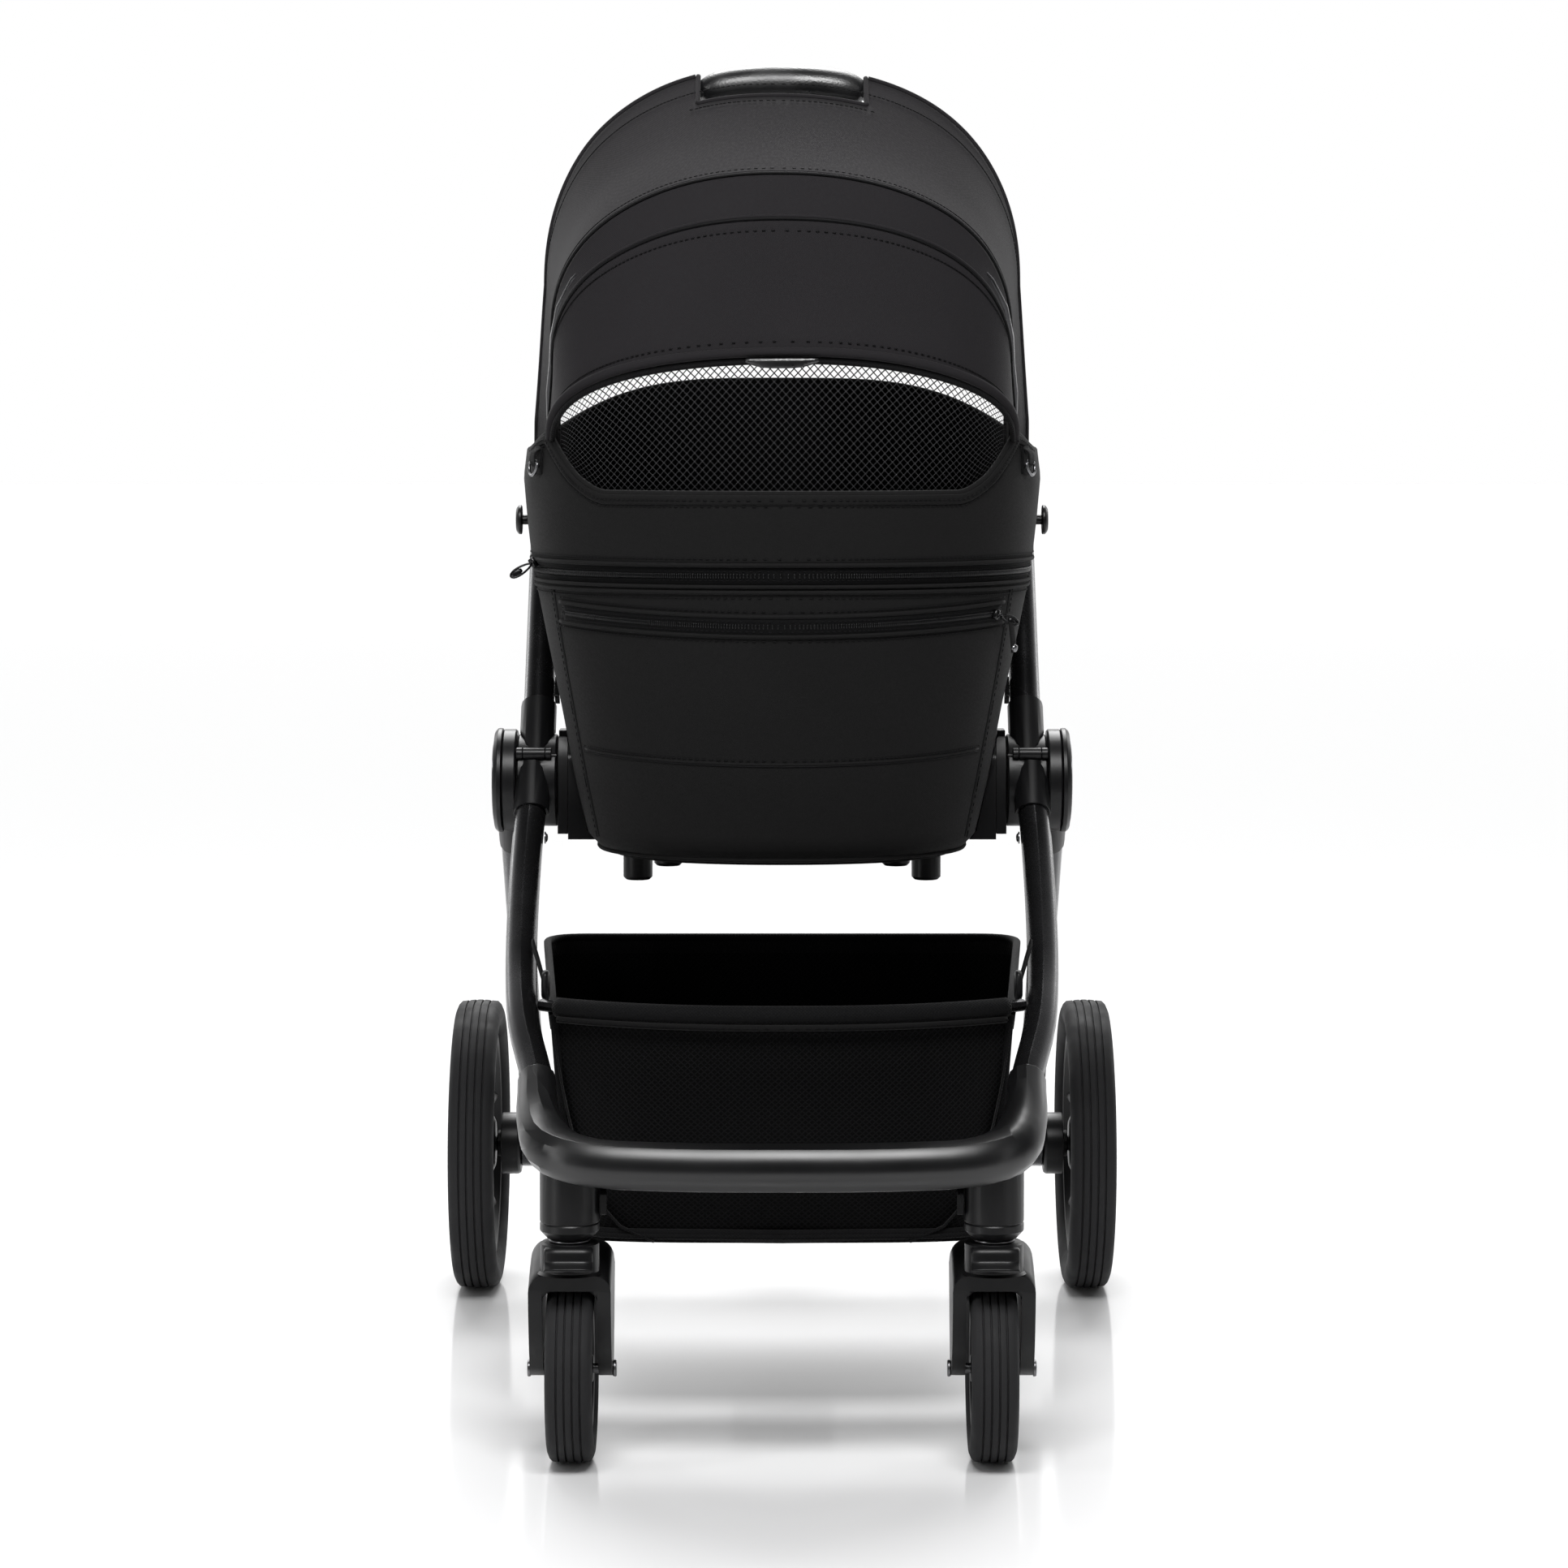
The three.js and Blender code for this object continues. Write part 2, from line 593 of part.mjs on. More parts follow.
// The round cover, with the hub pin moulded on its inner side.
function hubCap() {
  const [inner, outer] = STACK.cap;
  return turnedOnX([
    [0, 199], [HUB.pin, 199], [HUB.pin, inner], [HUB.cap, inner], [HUB.cap, outer - 3],
    [HUB.cap - 3, outer], [0, outer],
  ], 0, HUB.z, 28);
}

// The rear leg with the round boss at its foot, bored for the axle tube and the stub axle.
function rearLegWithBoss() {
  const boss = disc(21, [REAR_LEG.at - REAR_LEG.x, 236.6], AXLE.y, AXLE.z, 20);
  const tubeRoom = disc(11 + GAP, [0, REAR_LEG.at - 4], AXLE.y, AXLE.z, 20, 0);
  const stubRoom = disc(7 + GAP, [REAR_LEG.at, 240], AXLE.y, AXLE.z, 20, 0);
  return cut(join(rearLeg(), boss), tubeRoom, stubRoom);
}

// The drum that holds the brake, with the stub axle that the wheel turns on.
function brakeHousing() {
  const wheelFace = REAR_WHEEL.x - REAR_WHEEL.width / 2;
  return turnedOnX([
    [0, 225], [7, 225], [7, 236.95], [26, 236.95], [28, 239], [28, wheelFace - 0.5],
    [12, wheelFace - 0.5], [12, wheelFace + 4], [7, wheelFace + 4], [7, 293.5], [0, 293.5],
  ], AXLE.y, AXLE.z, 20);
}

// A foot pedal on a sleeve that turns on the rear axle tube.
function brakePedal() {
  const sleeve = disc(15, [-46, 46], AXLE.y, AXLE.z, 24);
  const plate = sidePlate([
    [AXLE.y + 4, AXLE.z - 6], [AXLE.y + 30, AXLE.z + 4], [AXLE.y + 66, AXLE.z + 9],
    [AXLE.y + 66, AXLE.z + 15], [AXLE.y + 28, AXLE.z + 13], [AXLE.y + 4, AXLE.z + 10],
  ], [-40, 40]);
  const bore = disc(11 + RUN, [-60, 60], AXLE.y, AXLE.z, 24, 0);
  return cut(join(sleeve, plate), bore);
}

function addRearFrame() {
  const axleTube = disc(11, [-REAR_LEG.at + 5, REAR_LEG.at - 5], AXLE.y, AXLE.z, 20);
  addPair("rear_knuckle", rearKnuckle(), BLACK_PLASTIC);
  addPair("hub_cap", hubCap(), BLACK_PLASTIC);
  addPair("rear_leg", rearLegWithBoss(), BLACK_METAL);
  addMesh("rear_axle_tube", axleTube, BLACK_METAL);
  addPair("brake_housing", brakeHousing(), BLACK_PLASTIC);
  addMesh("brake_pedal", brakePedal(), BLACK_PLASTIC);
}

// ---- push bar -----------------------------------------------------------------------

// The lower push tube, bored from its top for the handle to slide in.
function pushTube(extra = 0) {
  const ends = [onFrameLine(PUSH.at, PUSH.foot - extra), onFrameLine(PUSH.at, PUSH.top)];
  const outside = tube(ends, PUSH.x + extra, PUSH.y + extra, 1, 14);
  const bore = tube(
    [onFrameLine(PUSH.at, PUSH.bore), onFrameLine(PUSH.at, PUSH.top + 5)],
    HANDLE.across + RUN, HANDLE.deep + RUN, 1, 14,
  );
  return extra ? outside : cut(outside, bore);
}

// The sleeve at the foot of the push tube, with the eye and pin that it folds on.
function pushSleeve() {
  const hubRoom = disc(HUB.drum + RUN, [150, 250], 0, HUB.z, 40, 0);
  const sleeve = cut(lineSleeve(PUSH.at, 1.5, 58), hubRoom);
  const sideRoom = [[180, FOLD_EYE.middle[0]], [FOLD_EYE.middle[1], 230]].map(
    (span) => disc(FOLD_EYE.radius + RUN, span, FOLD_AXIS.y, FOLD_AXIS.z, 12, 0),
  );
  const eye = disc(FOLD_EYE.radius, FOLD_EYE.middle, FOLD_AXIS.y, FOLD_AXIS.z, 12, 0.3);
  const pin = disc(FOLD_EYE.pin, [190, FOLD_EYE.reach], FOLD_AXIS.y, FOLD_AXIS.z, 12, 0.3);
  return cut(join(cut(sleeve, ...sideRoom), eye, pin), pushTube(GAP));
}

// The sliding upper half of the push bar, bent back and joined across the top.
const HANDLE_HALF = [
  onFrameLine(PUSH.at, 185), onFrameLine(PUSH.at, 290), onFrameLine(PUSH.at, 395),
  vec(194, 300, 906), vec(184, 372, 964), vec(166, 414, 1000), vec(128, HANDLE.y, HANDLE.z),
];
const HANDLE_PATH = [
  ...HANDLE_HALF, vec(0, HANDLE.y, HANDLE.z),
  ...HANDLE_HALF.toReversed().map((p) => vec(-p.x, p.y, p.z)),
];

function handleFrame(extra = 0) {
  return tube(HANDLE_PATH, HANDLE.across + extra, HANDLE.deep + extra, 40, 10);
}

// A soft grip around the top of the handle, with a recess for the height button.
function handleGrip() {
  const half = HANDLE.gripHalf;
  const wrap = turnedOnX([
    [0, -half], [HANDLE.grip - 2, -half], [HANDLE.grip, -half + 4], [HANDLE.grip, half - 4],
    [HANDLE.grip - 2, half], [0, half],
  ], HANDLE.y, HANDLE.z, 14);
  const recess = block([-18, HANDLE.y - 7, HANDLE.z - 20], [18, HANDLE.y + 7, HANDLE.z - 8]);
  return cut(wrap, handleFrame(GAP), recess);
}

function heightButton() {
  const underside = HANDLE.z - HANDLE.grip;
  return block([-17, HANDLE.y - 6, underside - 1.5], [17, HANDLE.y + 6, underside + 1]);
}

// The catch on the inner side of the push tube that frees the fold.
function foldLatch() {
  const inner = PUSH.at - PUSH.x - SLEEVE_WALL;
  const [low, high] = [64, 84];
  const corners = [
    onFrameLine(0, low, LINE_OFFSET - 6), onFrameLine(0, high, LINE_OFFSET - 6),
    onFrameLine(0, high, LINE_OFFSET + 6), onFrameLine(0, low, LINE_OFFSET + 6),
  ];
  return sidePlate(corners.map((p) => [p.y, p.z]), [inner - 2.2, inner + SLEEVE_WALL - GAP]);
}

function addPushBar() {
  addPair("push_sleeve", pushSleeve(), BLACK_PLASTIC);
  addPair("push_tube", pushTube(), BLACK_METAL);
  addPair("fold_latch", foldLatch(), BLACK_PLASTIC);
  addMesh("handle_frame", handleFrame(), BLACK_METAL);
  addMesh("handle_grip", handleGrip(), LEATHER);
  addMesh("height_button", heightButton(), BLACK_PLASTIC);
}

// ---- carrier ------------------------------------------------------------------------

const signedPower = (value, power) => Math.sign(value) * Math.abs(value) ** power;

// A value between the stations of a list, on a straight line from one to the next.
function between(stations, key, at, value) {
  const next = Math.max(1, stations.findIndex((s) => s[key] >= value));
  const [low, high] = [stations[next - 1], stations[next]];
  const share = THREE.MathUtils.clamp((value - low[key]) / (high[key] - low[key]), 0, 1);
  return mix(low[at], high[at], share);
}

// A point on the tub's wall at a turn around it, a height and a distance in from its surface.
function onTub(turn, z, inset) {
  const half = between(TUB_LEVELS, "z", "half", z) - inset;
  const length = between(TUB_LEVELS, "z", "length", z) - inset;
  const power = 2 / TUB.power;
  return vec(
    half * signedPower(Math.cos(turn), power),
    TUB.y + length * signedPower(Math.sin(turn), power),
    z,
  );
}

// The height of the tub's edge: low under the window, with a horn each side, high at the rear.
function rimHeight(turn) {
  const { x } = onTub(turn, TUB_RIM.side, 0);
  const aside = Math.abs(x);
  const widest = onTub(0, TUB_RIM.side, 0).x;
  if (Math.sin(turn) < 0) {
    const out = (aside - TUB_RIM.windowHalf) / (TUB_RIM.hornHalf - TUB_RIM.windowHalf);
    const rise = THREE.MathUtils.clamp(out, 0, 1) ** 1.7;
    const back = smooth(aside, TUB_RIM.hornHalf, widest);
    return mix(TUB_RIM.front, TUB_RIM.horn, rise) + (TUB_RIM.side - TUB_RIM.horn) * back;
  }
  return mix(TUB_RIM.rear, TUB_RIM.side, (aside / widest) ** 3.6);
}

function tubRing(height, inset, count = 32) {
  const ring = [];
  for (let i = 0; i < count; i += 1) {
    const turn = (i / count) * 2 * Math.PI;
    ring.push(onTub(turn, Math.min(height, rimHeight(turn)), inset));
  }
  return ring;
}

// The tub's outer form as a solid, used to cut its neighbours to its slope.
function tubForm(extra) {
  const heights = [440, 444, 455, 560, 672, 745];
  return loft(heights.map((z) => tubRing(z, -extra)));
}

const PIVOT_PIN = { radius: 4, cap: 12 };

function pivotPin(extra = 0) {
  return disc(PIVOT_PIN.radius + extra, [HOOD.pivotHalf + 6, 214], TUB.y, HOOD.pivotZ, 16, 0);
}

// The fabric tub, open at the top, with its edge shaped around the window.
function carrierTub() {
  const { wall, floor } = TUB;
  const outside = [440, 444, 455, 560, 672, 720].map((z) => tubRing(z, 0));
  const edge = [tubRing(1000, 0), tubRing(1000, wall)];
  const inside = [672, 560, floor + 8].map((z) => tubRing(z, wall));
  const bottom = tubRing(floor, wall + 8);
  const tub = loft([...outside, ...edge, ...inside, bottom]);
  return cut(tub, pivotPin(RUN), mirrored(pivotPin(RUN)));
}

// The board under the tub, with four feet.
function carrierBase() {
  const plate = loft([
    tubRing(440, 24).map((p) => vec(p.x, p.y, 436.4)),
    tubRing(440, 20).map((p) => vec(p.x, p.y, 437.6)),
    tubRing(440, 20).map((p) => vec(p.x, p.y, 440 - GAP)),
  ]);
  const feet = [[-117, -52], [117, -52], [-95, 48], [95, 48]].map(
    ([x, y]) => turnedOnZ([[0, 418], [9.5, 418], [12, 420.5], [12, 437], [0, 437]], x, y, 14),
  );
  return join(plate, ...feet);
}

// The washable cushion on the tub's floor.
function carrierPad() {
  const { floor, wall } = TUB;
  const rings = [[floor + 1, 24], [floor + 7, 15], [floor + 22, 14], [floor + 30, 30]];
  return loft(rings.map(([z, inset]) => tubRing(480, wall + inset).map((p) => vec(p.x, p.y, z))));
}

// The bracket on the tub's side that hooks over the adaptor.
function carrierBracket() {
  const half = 30;
  const top = 535;
  const outline = [
    [-half, 448], [half, 448], [half, top - 22], [half - 7, top - 8], [half - 18, top],
    [-half + 18, top], [-half + 7, top - 8], [-half, top - 22],
  ];
  return cut(sidePlate(outline, STACK.bracket), tubForm(GAP));
}

// The plate on the hub that the bracket hangs on.
function adaptor() {
  const half = 26;
  const outline = [
    [-half, 452], [half, 452], [half, 514], [half - 10, 531], [-half + 10, 531], [-half, 514],
  ];
  const slot = block([STACK.adaptor[0] - 1, -11, 520], [STACK.adaptor[1] + 1, 11, 540]);
  return cut(sidePlate(outline, STACK.adaptor), slot, tubForm(RUN));
}

function releaseButton() {
  const key = block([STACK.adaptor[0] + 0.5, -10, 524.5], [STACK.adaptor[1] - 0.5, 10, 536]);
  return cut(key, tubForm(RUN));
}

// A point of the hood at a station, at a height in the upright arch, set in from the surface.
function onHood({ angle, reach, width }, height, inset) {
  const { shoulderZ, topZ, half, flare, flareEnd, power, pivotZ } = HOOD;
  const rise = Math.max(0, height - shoulderZ) / (topZ - shoulderZ);
  const crown = (1 - Math.min(1, rise) ** power) ** (1 / power);
  const flared = flare * Math.max(0, shoulderZ - Math.max(height, flareEnd));
  const x = (half * width - inset) * crown + flared * width;
  const reachHere = ((height - pivotZ) * reach) / ARCH.reach - inset * Math.min(1, rise);
  const turn = radians(angle);
  return vec(x, TUB.y - reachHere * Math.sin(turn), pivotZ + reachHere * Math.cos(turn));
}

// The hood's station at any angle, on straight cloth between the given ones.
function hoodStation(angle) {
  const stations = [ARCH, SEAM_REAR, SEAM_FRONT, HOOD_EDGE];
  const next = Math.max(1, stations.findIndex((s) => s.angle >= angle - 1e-9));
  const [low, high] = [stations[next - 1], stations[next]];
  const [before, after] = [radians(angle - low.angle), radians(high.angle - angle)];
  const reach = (low.reach * high.reach * Math.sin(before + after))
    / (low.reach * Math.sin(before) + high.reach * Math.sin(after));
  return { angle, reach, width: between(stations, "angle", "width", angle) };
}

// Heights up the round part of one side of the arch, closer together towards the top.
function roundHeights(count) {
  return Array.from({ length: count }, (_, i) => mix(
    HOOD.shoulderZ, HOOD.topZ, Math.sin((i / (count - 1)) * (Math.PI / 2)),
  ));
}

// The arch from one hem over the top to the other, at one station and depth.
function hoodArc(angle, inset) {
  const station = hoodStation(angle);
  const hem = (HOOD.hemZ - HOOD.pivotZ) / Math.cos(radians(angle));
  const start = HOOD.pivotZ + (hem * ARCH.reach) / station.reach;
  const heights = [start, mix(start, HOOD.shoulderZ, 0.4), ...roundHeights(9)];
  const right = heights.map((height) => onHood(station, height, inset));
  const left = right.slice(0, -1).reverse().map((p) => vec(-p.x, p.y, p.z));
  return [...right, ...left];
}

// A panel of the hood between two angles, as thick cloth.
function hoodPanel(angles) {
  const surface = (inset) => angles.map((angle) => hoodArc(angle, inset));
  return slab(surface(0), surface(HOOD.wall));
}

function hoodTop() {
  const { notchHalf, notchAngle } = CARRY_GRIP;
  const notch = block([-notchHalf, 0, 1000], [notchHalf, 120, 1100]);
  notch.translate(0, TUB.y - ARCH.reach * Math.sin(radians(notchAngle)), 0);
  return cut(hoodPanel([0, 7, 14, 21, 27.2]), notch);
}

// The hoop under the hood between its two seams.
function hoodBow() {
  const station = hoodStation((SEAM_REAR.angle + SEAM_FRONT.angle) / 2);
  return tube(hoopPath(station, 10, 42), 3.5, 3.5, 28, 8);
}

// A hoop from one pivot to the other: straight beside the tub, then close under the cloth.
function hoopPath(station, inset, foot) {
  const low = [foot, 80, 120].map((reach) => {
    const turn = radians(station.angle);
    const [forward, up] = [reach * Math.sin(turn), reach * Math.cos(turn)];
    return vec(HOOD.pivotHalf, TUB.y - forward, HOOD.pivotZ + up);
  });
  const high = roundHeights(9).map((height) => onHood(station, height, inset));
  const right = [...low, ...high];
  return [...right, ...right.slice(0, -1).reverse().map((p) => vec(-p.x, p.y, p.z))];
}

// The carrying hoop, with a boss at each pivot.
function carryHoop(extra = 0) {
  return tube(hoopPath(ARCH, HOOP.inset, 12), HOOP.depth + extra, HOOP.thick + extra, 36, 10);
}

function carryHandle() {
  const boss = disc(15, [HOOD.pivotHalf - 6, HOOD.pivotHalf + 5.5], TUB.y, HOOD.pivotZ, 20);
  const link = sidePlate([
    [TUB.y - 10, HOOD.pivotZ], [TUB.y + 10, HOOD.pivotZ],
    [TUB.y + 10, HOOD.pivotZ + 24], [TUB.y - 10, HOOD.pivotZ + 24],
  ], [HOOD.pivotHalf - 5, HOOD.pivotHalf + 5]);
  return join(carryHoop(), boss, link, mirrored(boss), mirrored(link));
}

// The middle of the carrying hoop at a distance from the centre plane.
function onHoop(x) {
  const { half, topZ, shoulderZ, power } = HOOD;
  const rise = (1 - Math.abs(x / (half - HOOP.inset)) ** power) ** (1 / power);
  return vec(x, TUB.y, shoulderZ + (topZ - shoulderZ - HOOP.inset) * rise);
}

// The padded grip around the hoop, in the hood's cut-out.
function carryGrip() {
  const stations = [[-1, 0.8], [-0.85, 1], [-0.4, 1.06], [0.4, 1.06], [0.85, 1], [1, 0.8]];
  const rings = stations.map(([share, size]) => {
    const middle = onHoop(share * CARRY_GRIP.half);
    return Array.from({ length: 14 }, (_, i) => {
      const turn = (i / 14) * 2 * Math.PI;
      const across = (HOOP.depth + 4.5) * size * Math.cos(turn);
      return vec(0, across, CARRY_GRIP.radius * size * Math.sin(turn)).add(middle);
    });
  });
  return cut(loft(rings), carryHoop(GAP));
}

// The cap outside the tub on each pivot pin.
function hoodPivot() {
  const cap = turnedOnX([
    [0, 212.4], [PIVOT_PIN.cap, 212.4], [PIVOT_PIN.cap, 215], [PIVOT_PIN.cap - 3, 217.2],
    [0, 217.2],
  ], TUB.y, HOOD.pivotZ, 20);
  return join(cap, pivotPin());
}

// The see-through panel between the tub's front edge and the hood.
function windowMesh() {
  const surface = (depth) => [0, 0.35, 0.7, 1].map((up) => Array.from({ length: 19 }, (_, i) => {
    const aside = mix(-1, 1, i / 18) * WINDOW.turn;
    const turn = aside - Math.PI / 2;
    const low = rimHeight(turn) - WINDOW.tuck;
    const high = Math.max(low + 12, WINDOW.top - WINDOW.fall * Math.abs(Math.sin(aside)) ** 2.2);
    const height = mix(low, high, up);
    return onTub(turn, Math.min(height, 830), TUB.wall + depth + up * 8).setZ(height);
  }));
  return slab(surface(3.4), surface(5.4));
}

function addCarrier() {
  addMesh("carrier_tub", carrierTub(), FABRIC);
  addMesh("carrier_base", carrierBase(), BLACK_PLASTIC);
  addMesh("carrier_pad", carrierPad(), FABRIC);
  addPair("carrier_bracket", carrierBracket(), BLACK_PLASTIC);
  addMesh("window_mesh", windowMesh(), MESH_FABRIC);
  addMesh("hood_front", hoodPanel([28, 31, 34.1, 43, 52.8]), FABRIC);
  addMesh("hood_top", hoodTop(), FABRIC);
  addMesh("hood_bow", hoodBow(), BLACK_METAL);
  addMesh("carry_handle", carryHandle(), BLACK_PLASTIC);
  addMesh("carry_grip", carryGrip(), LEATHER);
  addPair("hood_pivot", hoodPivot(), BLACK_PLASTIC);
}

function addAdaptors() {
  addPair("adaptor", adaptor(), BLACK_PLASTIC);
  addPair("release_button", releaseButton(), BLACK_PLASTIC);
}

const bar = frontBar();
addRearWheels();
addFrontWheels();
addCasters(frontBar(GAP));
addFrontFrame(bar);
addRearFrame();
addPushBar();
addAdaptors();
addCarrier();

// The origin is under the middle of the stroller's length.
const frontmost = BAR.y - BAR.halfDepth;
const rearmost = REAR_WHEEL.y + REAR_WHEEL.radius;
stroller.position.y = -(frontmost + rearmost) / 2;

export default stroller;
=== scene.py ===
"""The looks of a pet stroller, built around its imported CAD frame.

Metres, +Z up, the front faces -Y and +X is on the right as seen from the front.
"""
import contextlib
import json
import math

import bmesh
import bpy
import numpy as np
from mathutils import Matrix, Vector, noise


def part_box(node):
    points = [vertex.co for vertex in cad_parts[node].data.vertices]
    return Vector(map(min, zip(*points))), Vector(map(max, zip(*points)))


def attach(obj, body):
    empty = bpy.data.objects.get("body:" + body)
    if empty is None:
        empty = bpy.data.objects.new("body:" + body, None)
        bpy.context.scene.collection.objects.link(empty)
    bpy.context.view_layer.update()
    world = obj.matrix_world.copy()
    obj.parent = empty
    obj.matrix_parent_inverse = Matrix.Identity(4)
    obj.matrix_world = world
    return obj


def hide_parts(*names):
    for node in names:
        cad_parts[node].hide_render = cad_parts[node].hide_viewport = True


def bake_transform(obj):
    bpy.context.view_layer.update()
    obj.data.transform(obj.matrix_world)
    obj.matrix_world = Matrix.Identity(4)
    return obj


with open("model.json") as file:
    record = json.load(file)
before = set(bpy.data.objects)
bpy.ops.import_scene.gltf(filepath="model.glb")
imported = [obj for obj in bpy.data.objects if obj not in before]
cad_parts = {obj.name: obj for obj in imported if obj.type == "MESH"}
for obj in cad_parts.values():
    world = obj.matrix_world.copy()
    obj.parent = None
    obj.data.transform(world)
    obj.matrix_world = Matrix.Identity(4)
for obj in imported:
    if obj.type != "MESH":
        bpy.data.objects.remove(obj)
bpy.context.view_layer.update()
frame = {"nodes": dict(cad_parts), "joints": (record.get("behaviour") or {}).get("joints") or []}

SIDES = {"right": 1, "left": -1}
UP = Vector((0, 0, 1))


# ---- places read from the frame ---------------------------------------------------------

def low(node):
    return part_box(node)[0]


def high(node):
    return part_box(node)[1]


def middle(node):
    return (low(node) + high(node)) / 2


def joint(name):
    return next(j for j in frame["joints"] if j["name"] == name)


PIVOT = middle("hood_pivot_right")
HUB = middle("hub_cap_right")
SLOPE = Vector(joint("handle_extend")["axis"]).normalized()


# ---- materials --------------------------------------------------------------------------

class Look:
    """A Principled material and the few kinds of nodes that its pattern is made of."""

    def __init__(self, name, colour, roughness, **sockets):
        self.material = bpy.data.materials.new(name)
        self.material.use_nodes = True
        self.tree = self.material.node_tree
        self.shader = self.tree.nodes["Principled BSDF"]
        self.colour = (*colour, 1)
        self.set(self.shader, "Base Color", self.colour)
        self.set(self.shader, "Roughness", roughness)
        for socket, value in sockets.items():
            self.set(self.shader, socket.replace("_", " ").title().replace("Ior", "IOR"), value)

    def set(self, node, socket, value):
        if isinstance(value, bpy.types.NodeSocket):
            self.tree.links.new(value, node.inputs[socket])
        else:
            node.inputs[socket].default_value = value

    def node(self, kind, **sockets):
        made = self.tree.nodes.new(kind)
        for socket, value in sockets.items():
            self.set(made, socket.replace("_", " ").title(), value)
        return made

    def place(self, output="Object"):
        return self.node("ShaderNodeTexCoord").outputs[output]

    def noise(self, scale, detail=3, place=None, roughness=0.5):
        made = self.node(
            "ShaderNodeTexNoise", Vector=place or self.place(), Scale=scale, Detail=detail,
            Roughness=roughness,
        )
        return made.outputs["Fac"]

    def maths(self, operation, first, second=0.0, third=0.0):
        made = self.tree.nodes.new("ShaderNodeMath")
        made.operation = operation
        for index, value in enumerate((first, second, third)):
            self.set(made, index, value)
        return made.outputs[0]

    def between(self, value, start, end, lowest, highest):
        made = self.tree.nodes.new("ShaderNodeMapRange")
        made.interpolation_type = "SMOOTHSTEP"
        for index, number in enumerate((value, start, end, lowest, highest)):
            self.set(made, index, number)
        return made.outputs[0]

    def shade(self, share, darkest, lightest):
        """The base colour, from darkest to lightest times its brightness as share goes from 0 to 1."""
        made = self.tree.nodes.new("ShaderNodeMix")
        made.data_type = "RGBA"
        for socket, times in ((6, darkest), (7, lightest)):
            made.inputs[socket].default_value = (*(c * times for c in self.colour[:3]), 1)
        self.tree.links.new(share, made.inputs[0])
        self.set(self.shader, "Base Color", made.outputs[2])

    def bump(self, height, distance, strength=1.0):
        made = self.node("ShaderNodeBump", Height=height, Distance=distance, Strength=strength)
        previous = self.shader.inputs["Normal"].links
        if previous:
            self.tree.links.new(previous[0].from_socket, made.inputs["Normal"])
        self.set(self.shader, "Normal", made.outputs["Normal"])


def cloth_look(name, colour, coordinates="UV", thread=0.0007, relief=0.00012):
    """A dense plain weave: crossing threads, a slubby colour and a soft sheen at the edges."""
    look = Look(
        name, colour, 0.86, sheen_weight=0.05, sheen_roughness=0.4, specular_ior_level=0.10,
    )
    place = look.place(coordinates)
    parts = look.node("ShaderNodeSeparateXYZ", Vector=place)
    turns = math.pi / thread
    across = look.maths("SINE", look.maths("MULTIPLY", parts.outputs[0], turns))
    along = look.maths("SINE", look.maths("MULTIPLY", parts.outputs[1], turns))
    weave = look.maths("MULTIPLY", across, along)
    slub = look.noise(420, 4, place, 0.65)
    patchy = look.noise(9, 3, place)
    look.shade(look.maths("MULTIPLY_ADD", patchy, 0.5, look.maths("MULTIPLY", slub, 0.5)), 0.72, 1.3)
    look.set(look.shader, "Roughness", look.between(slub, 0.3, 0.7, 0.78, 0.95))
    look.bump(weave, relief, 0.4)
    look.bump(look.noise(28, 2, place), 0.003, 0.06)
    return look


def net_look(name, colour, across, tall, thread, backed=False):
    """Netting: two sets of slanting threads, with holes or a dark backing between them."""
    look = Look(name, colour, 0.75, specular_ior_level=0.06)
    parts = look.node("ShaderNodeSeparateXYZ", Vector=look.place("UV"))
    u = look.maths("MULTIPLY", parts.outputs[0], math.pi / across)
    v = look.maths("MULTIPLY", parts.outputs[1], math.pi / tall)
    slants = [
        look.maths("ABSOLUTE", look.maths("SINE", look.maths(operation, u, v)))
        for operation in ("ADD", "SUBTRACT")
    ]
    closest = look.maths("MINIMUM", *slants)
    cover = look.between(closest, thread, thread + 0.12, 1.0, 0.0)
    if backed:
        look.shade(cover, 0.25, 1.4)
    else:
        look.set(look.shader, "Alpha", cover)
        look.shade(look.between(look.maths("MAXIMUM", *slants), 0.1, 0.9, 1.0, 0.0), 0.75, 1.5)
    look.bump(look.between(closest, 0.0, thread, 1.0, 0.0), 0.0006, 0.7)
    return look


def plastic_look(name, colour, roughness, gloss=0.25):
    """Moulded plastic: a fine spark-eroded grain, uneven gloss and faint flow marks."""
    look = Look(name, colour, roughness, specular_ior_level=gloss)
    grain = look.noise(1500, 2)
    cloudy = look.noise(14, 4)
    gloss_range = (roughness - 0.03, roughness + 0.04)
    look.set(look.shader, "Roughness", look.between(cloudy, 0.25, 0.75, *gloss_range))
    look.shade(cloudy, 0.88, 1.12)
    look.bump(grain, 0.00006, 0.2)
    return look


def metal_look(name, colour, roughness, metallic=0.9):
    """Satin anodised tube: lengthwise drawing marks and small changes in gloss."""
    look = Look(name, colour, roughness, metallic=metallic)
    stretched = look.node("ShaderNodeMapping", Vector=look.place())
    stretched.inputs["Scale"].default_value = (900, 900, 40)
    drawn = look.noise(1.0, 2, stretched.outputs[0])
    cloudy = look.noise(22, 4)
    both = look.maths("MULTIPLY_ADD", drawn, 0.4, look.maths("MULTIPLY", cloudy, 0.6))
    look.set(look.shader, "Roughness", look.between(both, 0.3, 0.7, roughness - 0.05, roughness + 0.07))
    look.shade(both, 0.85, 1.15)
    look.bump(drawn, 0.00004, 0.3)
    return look


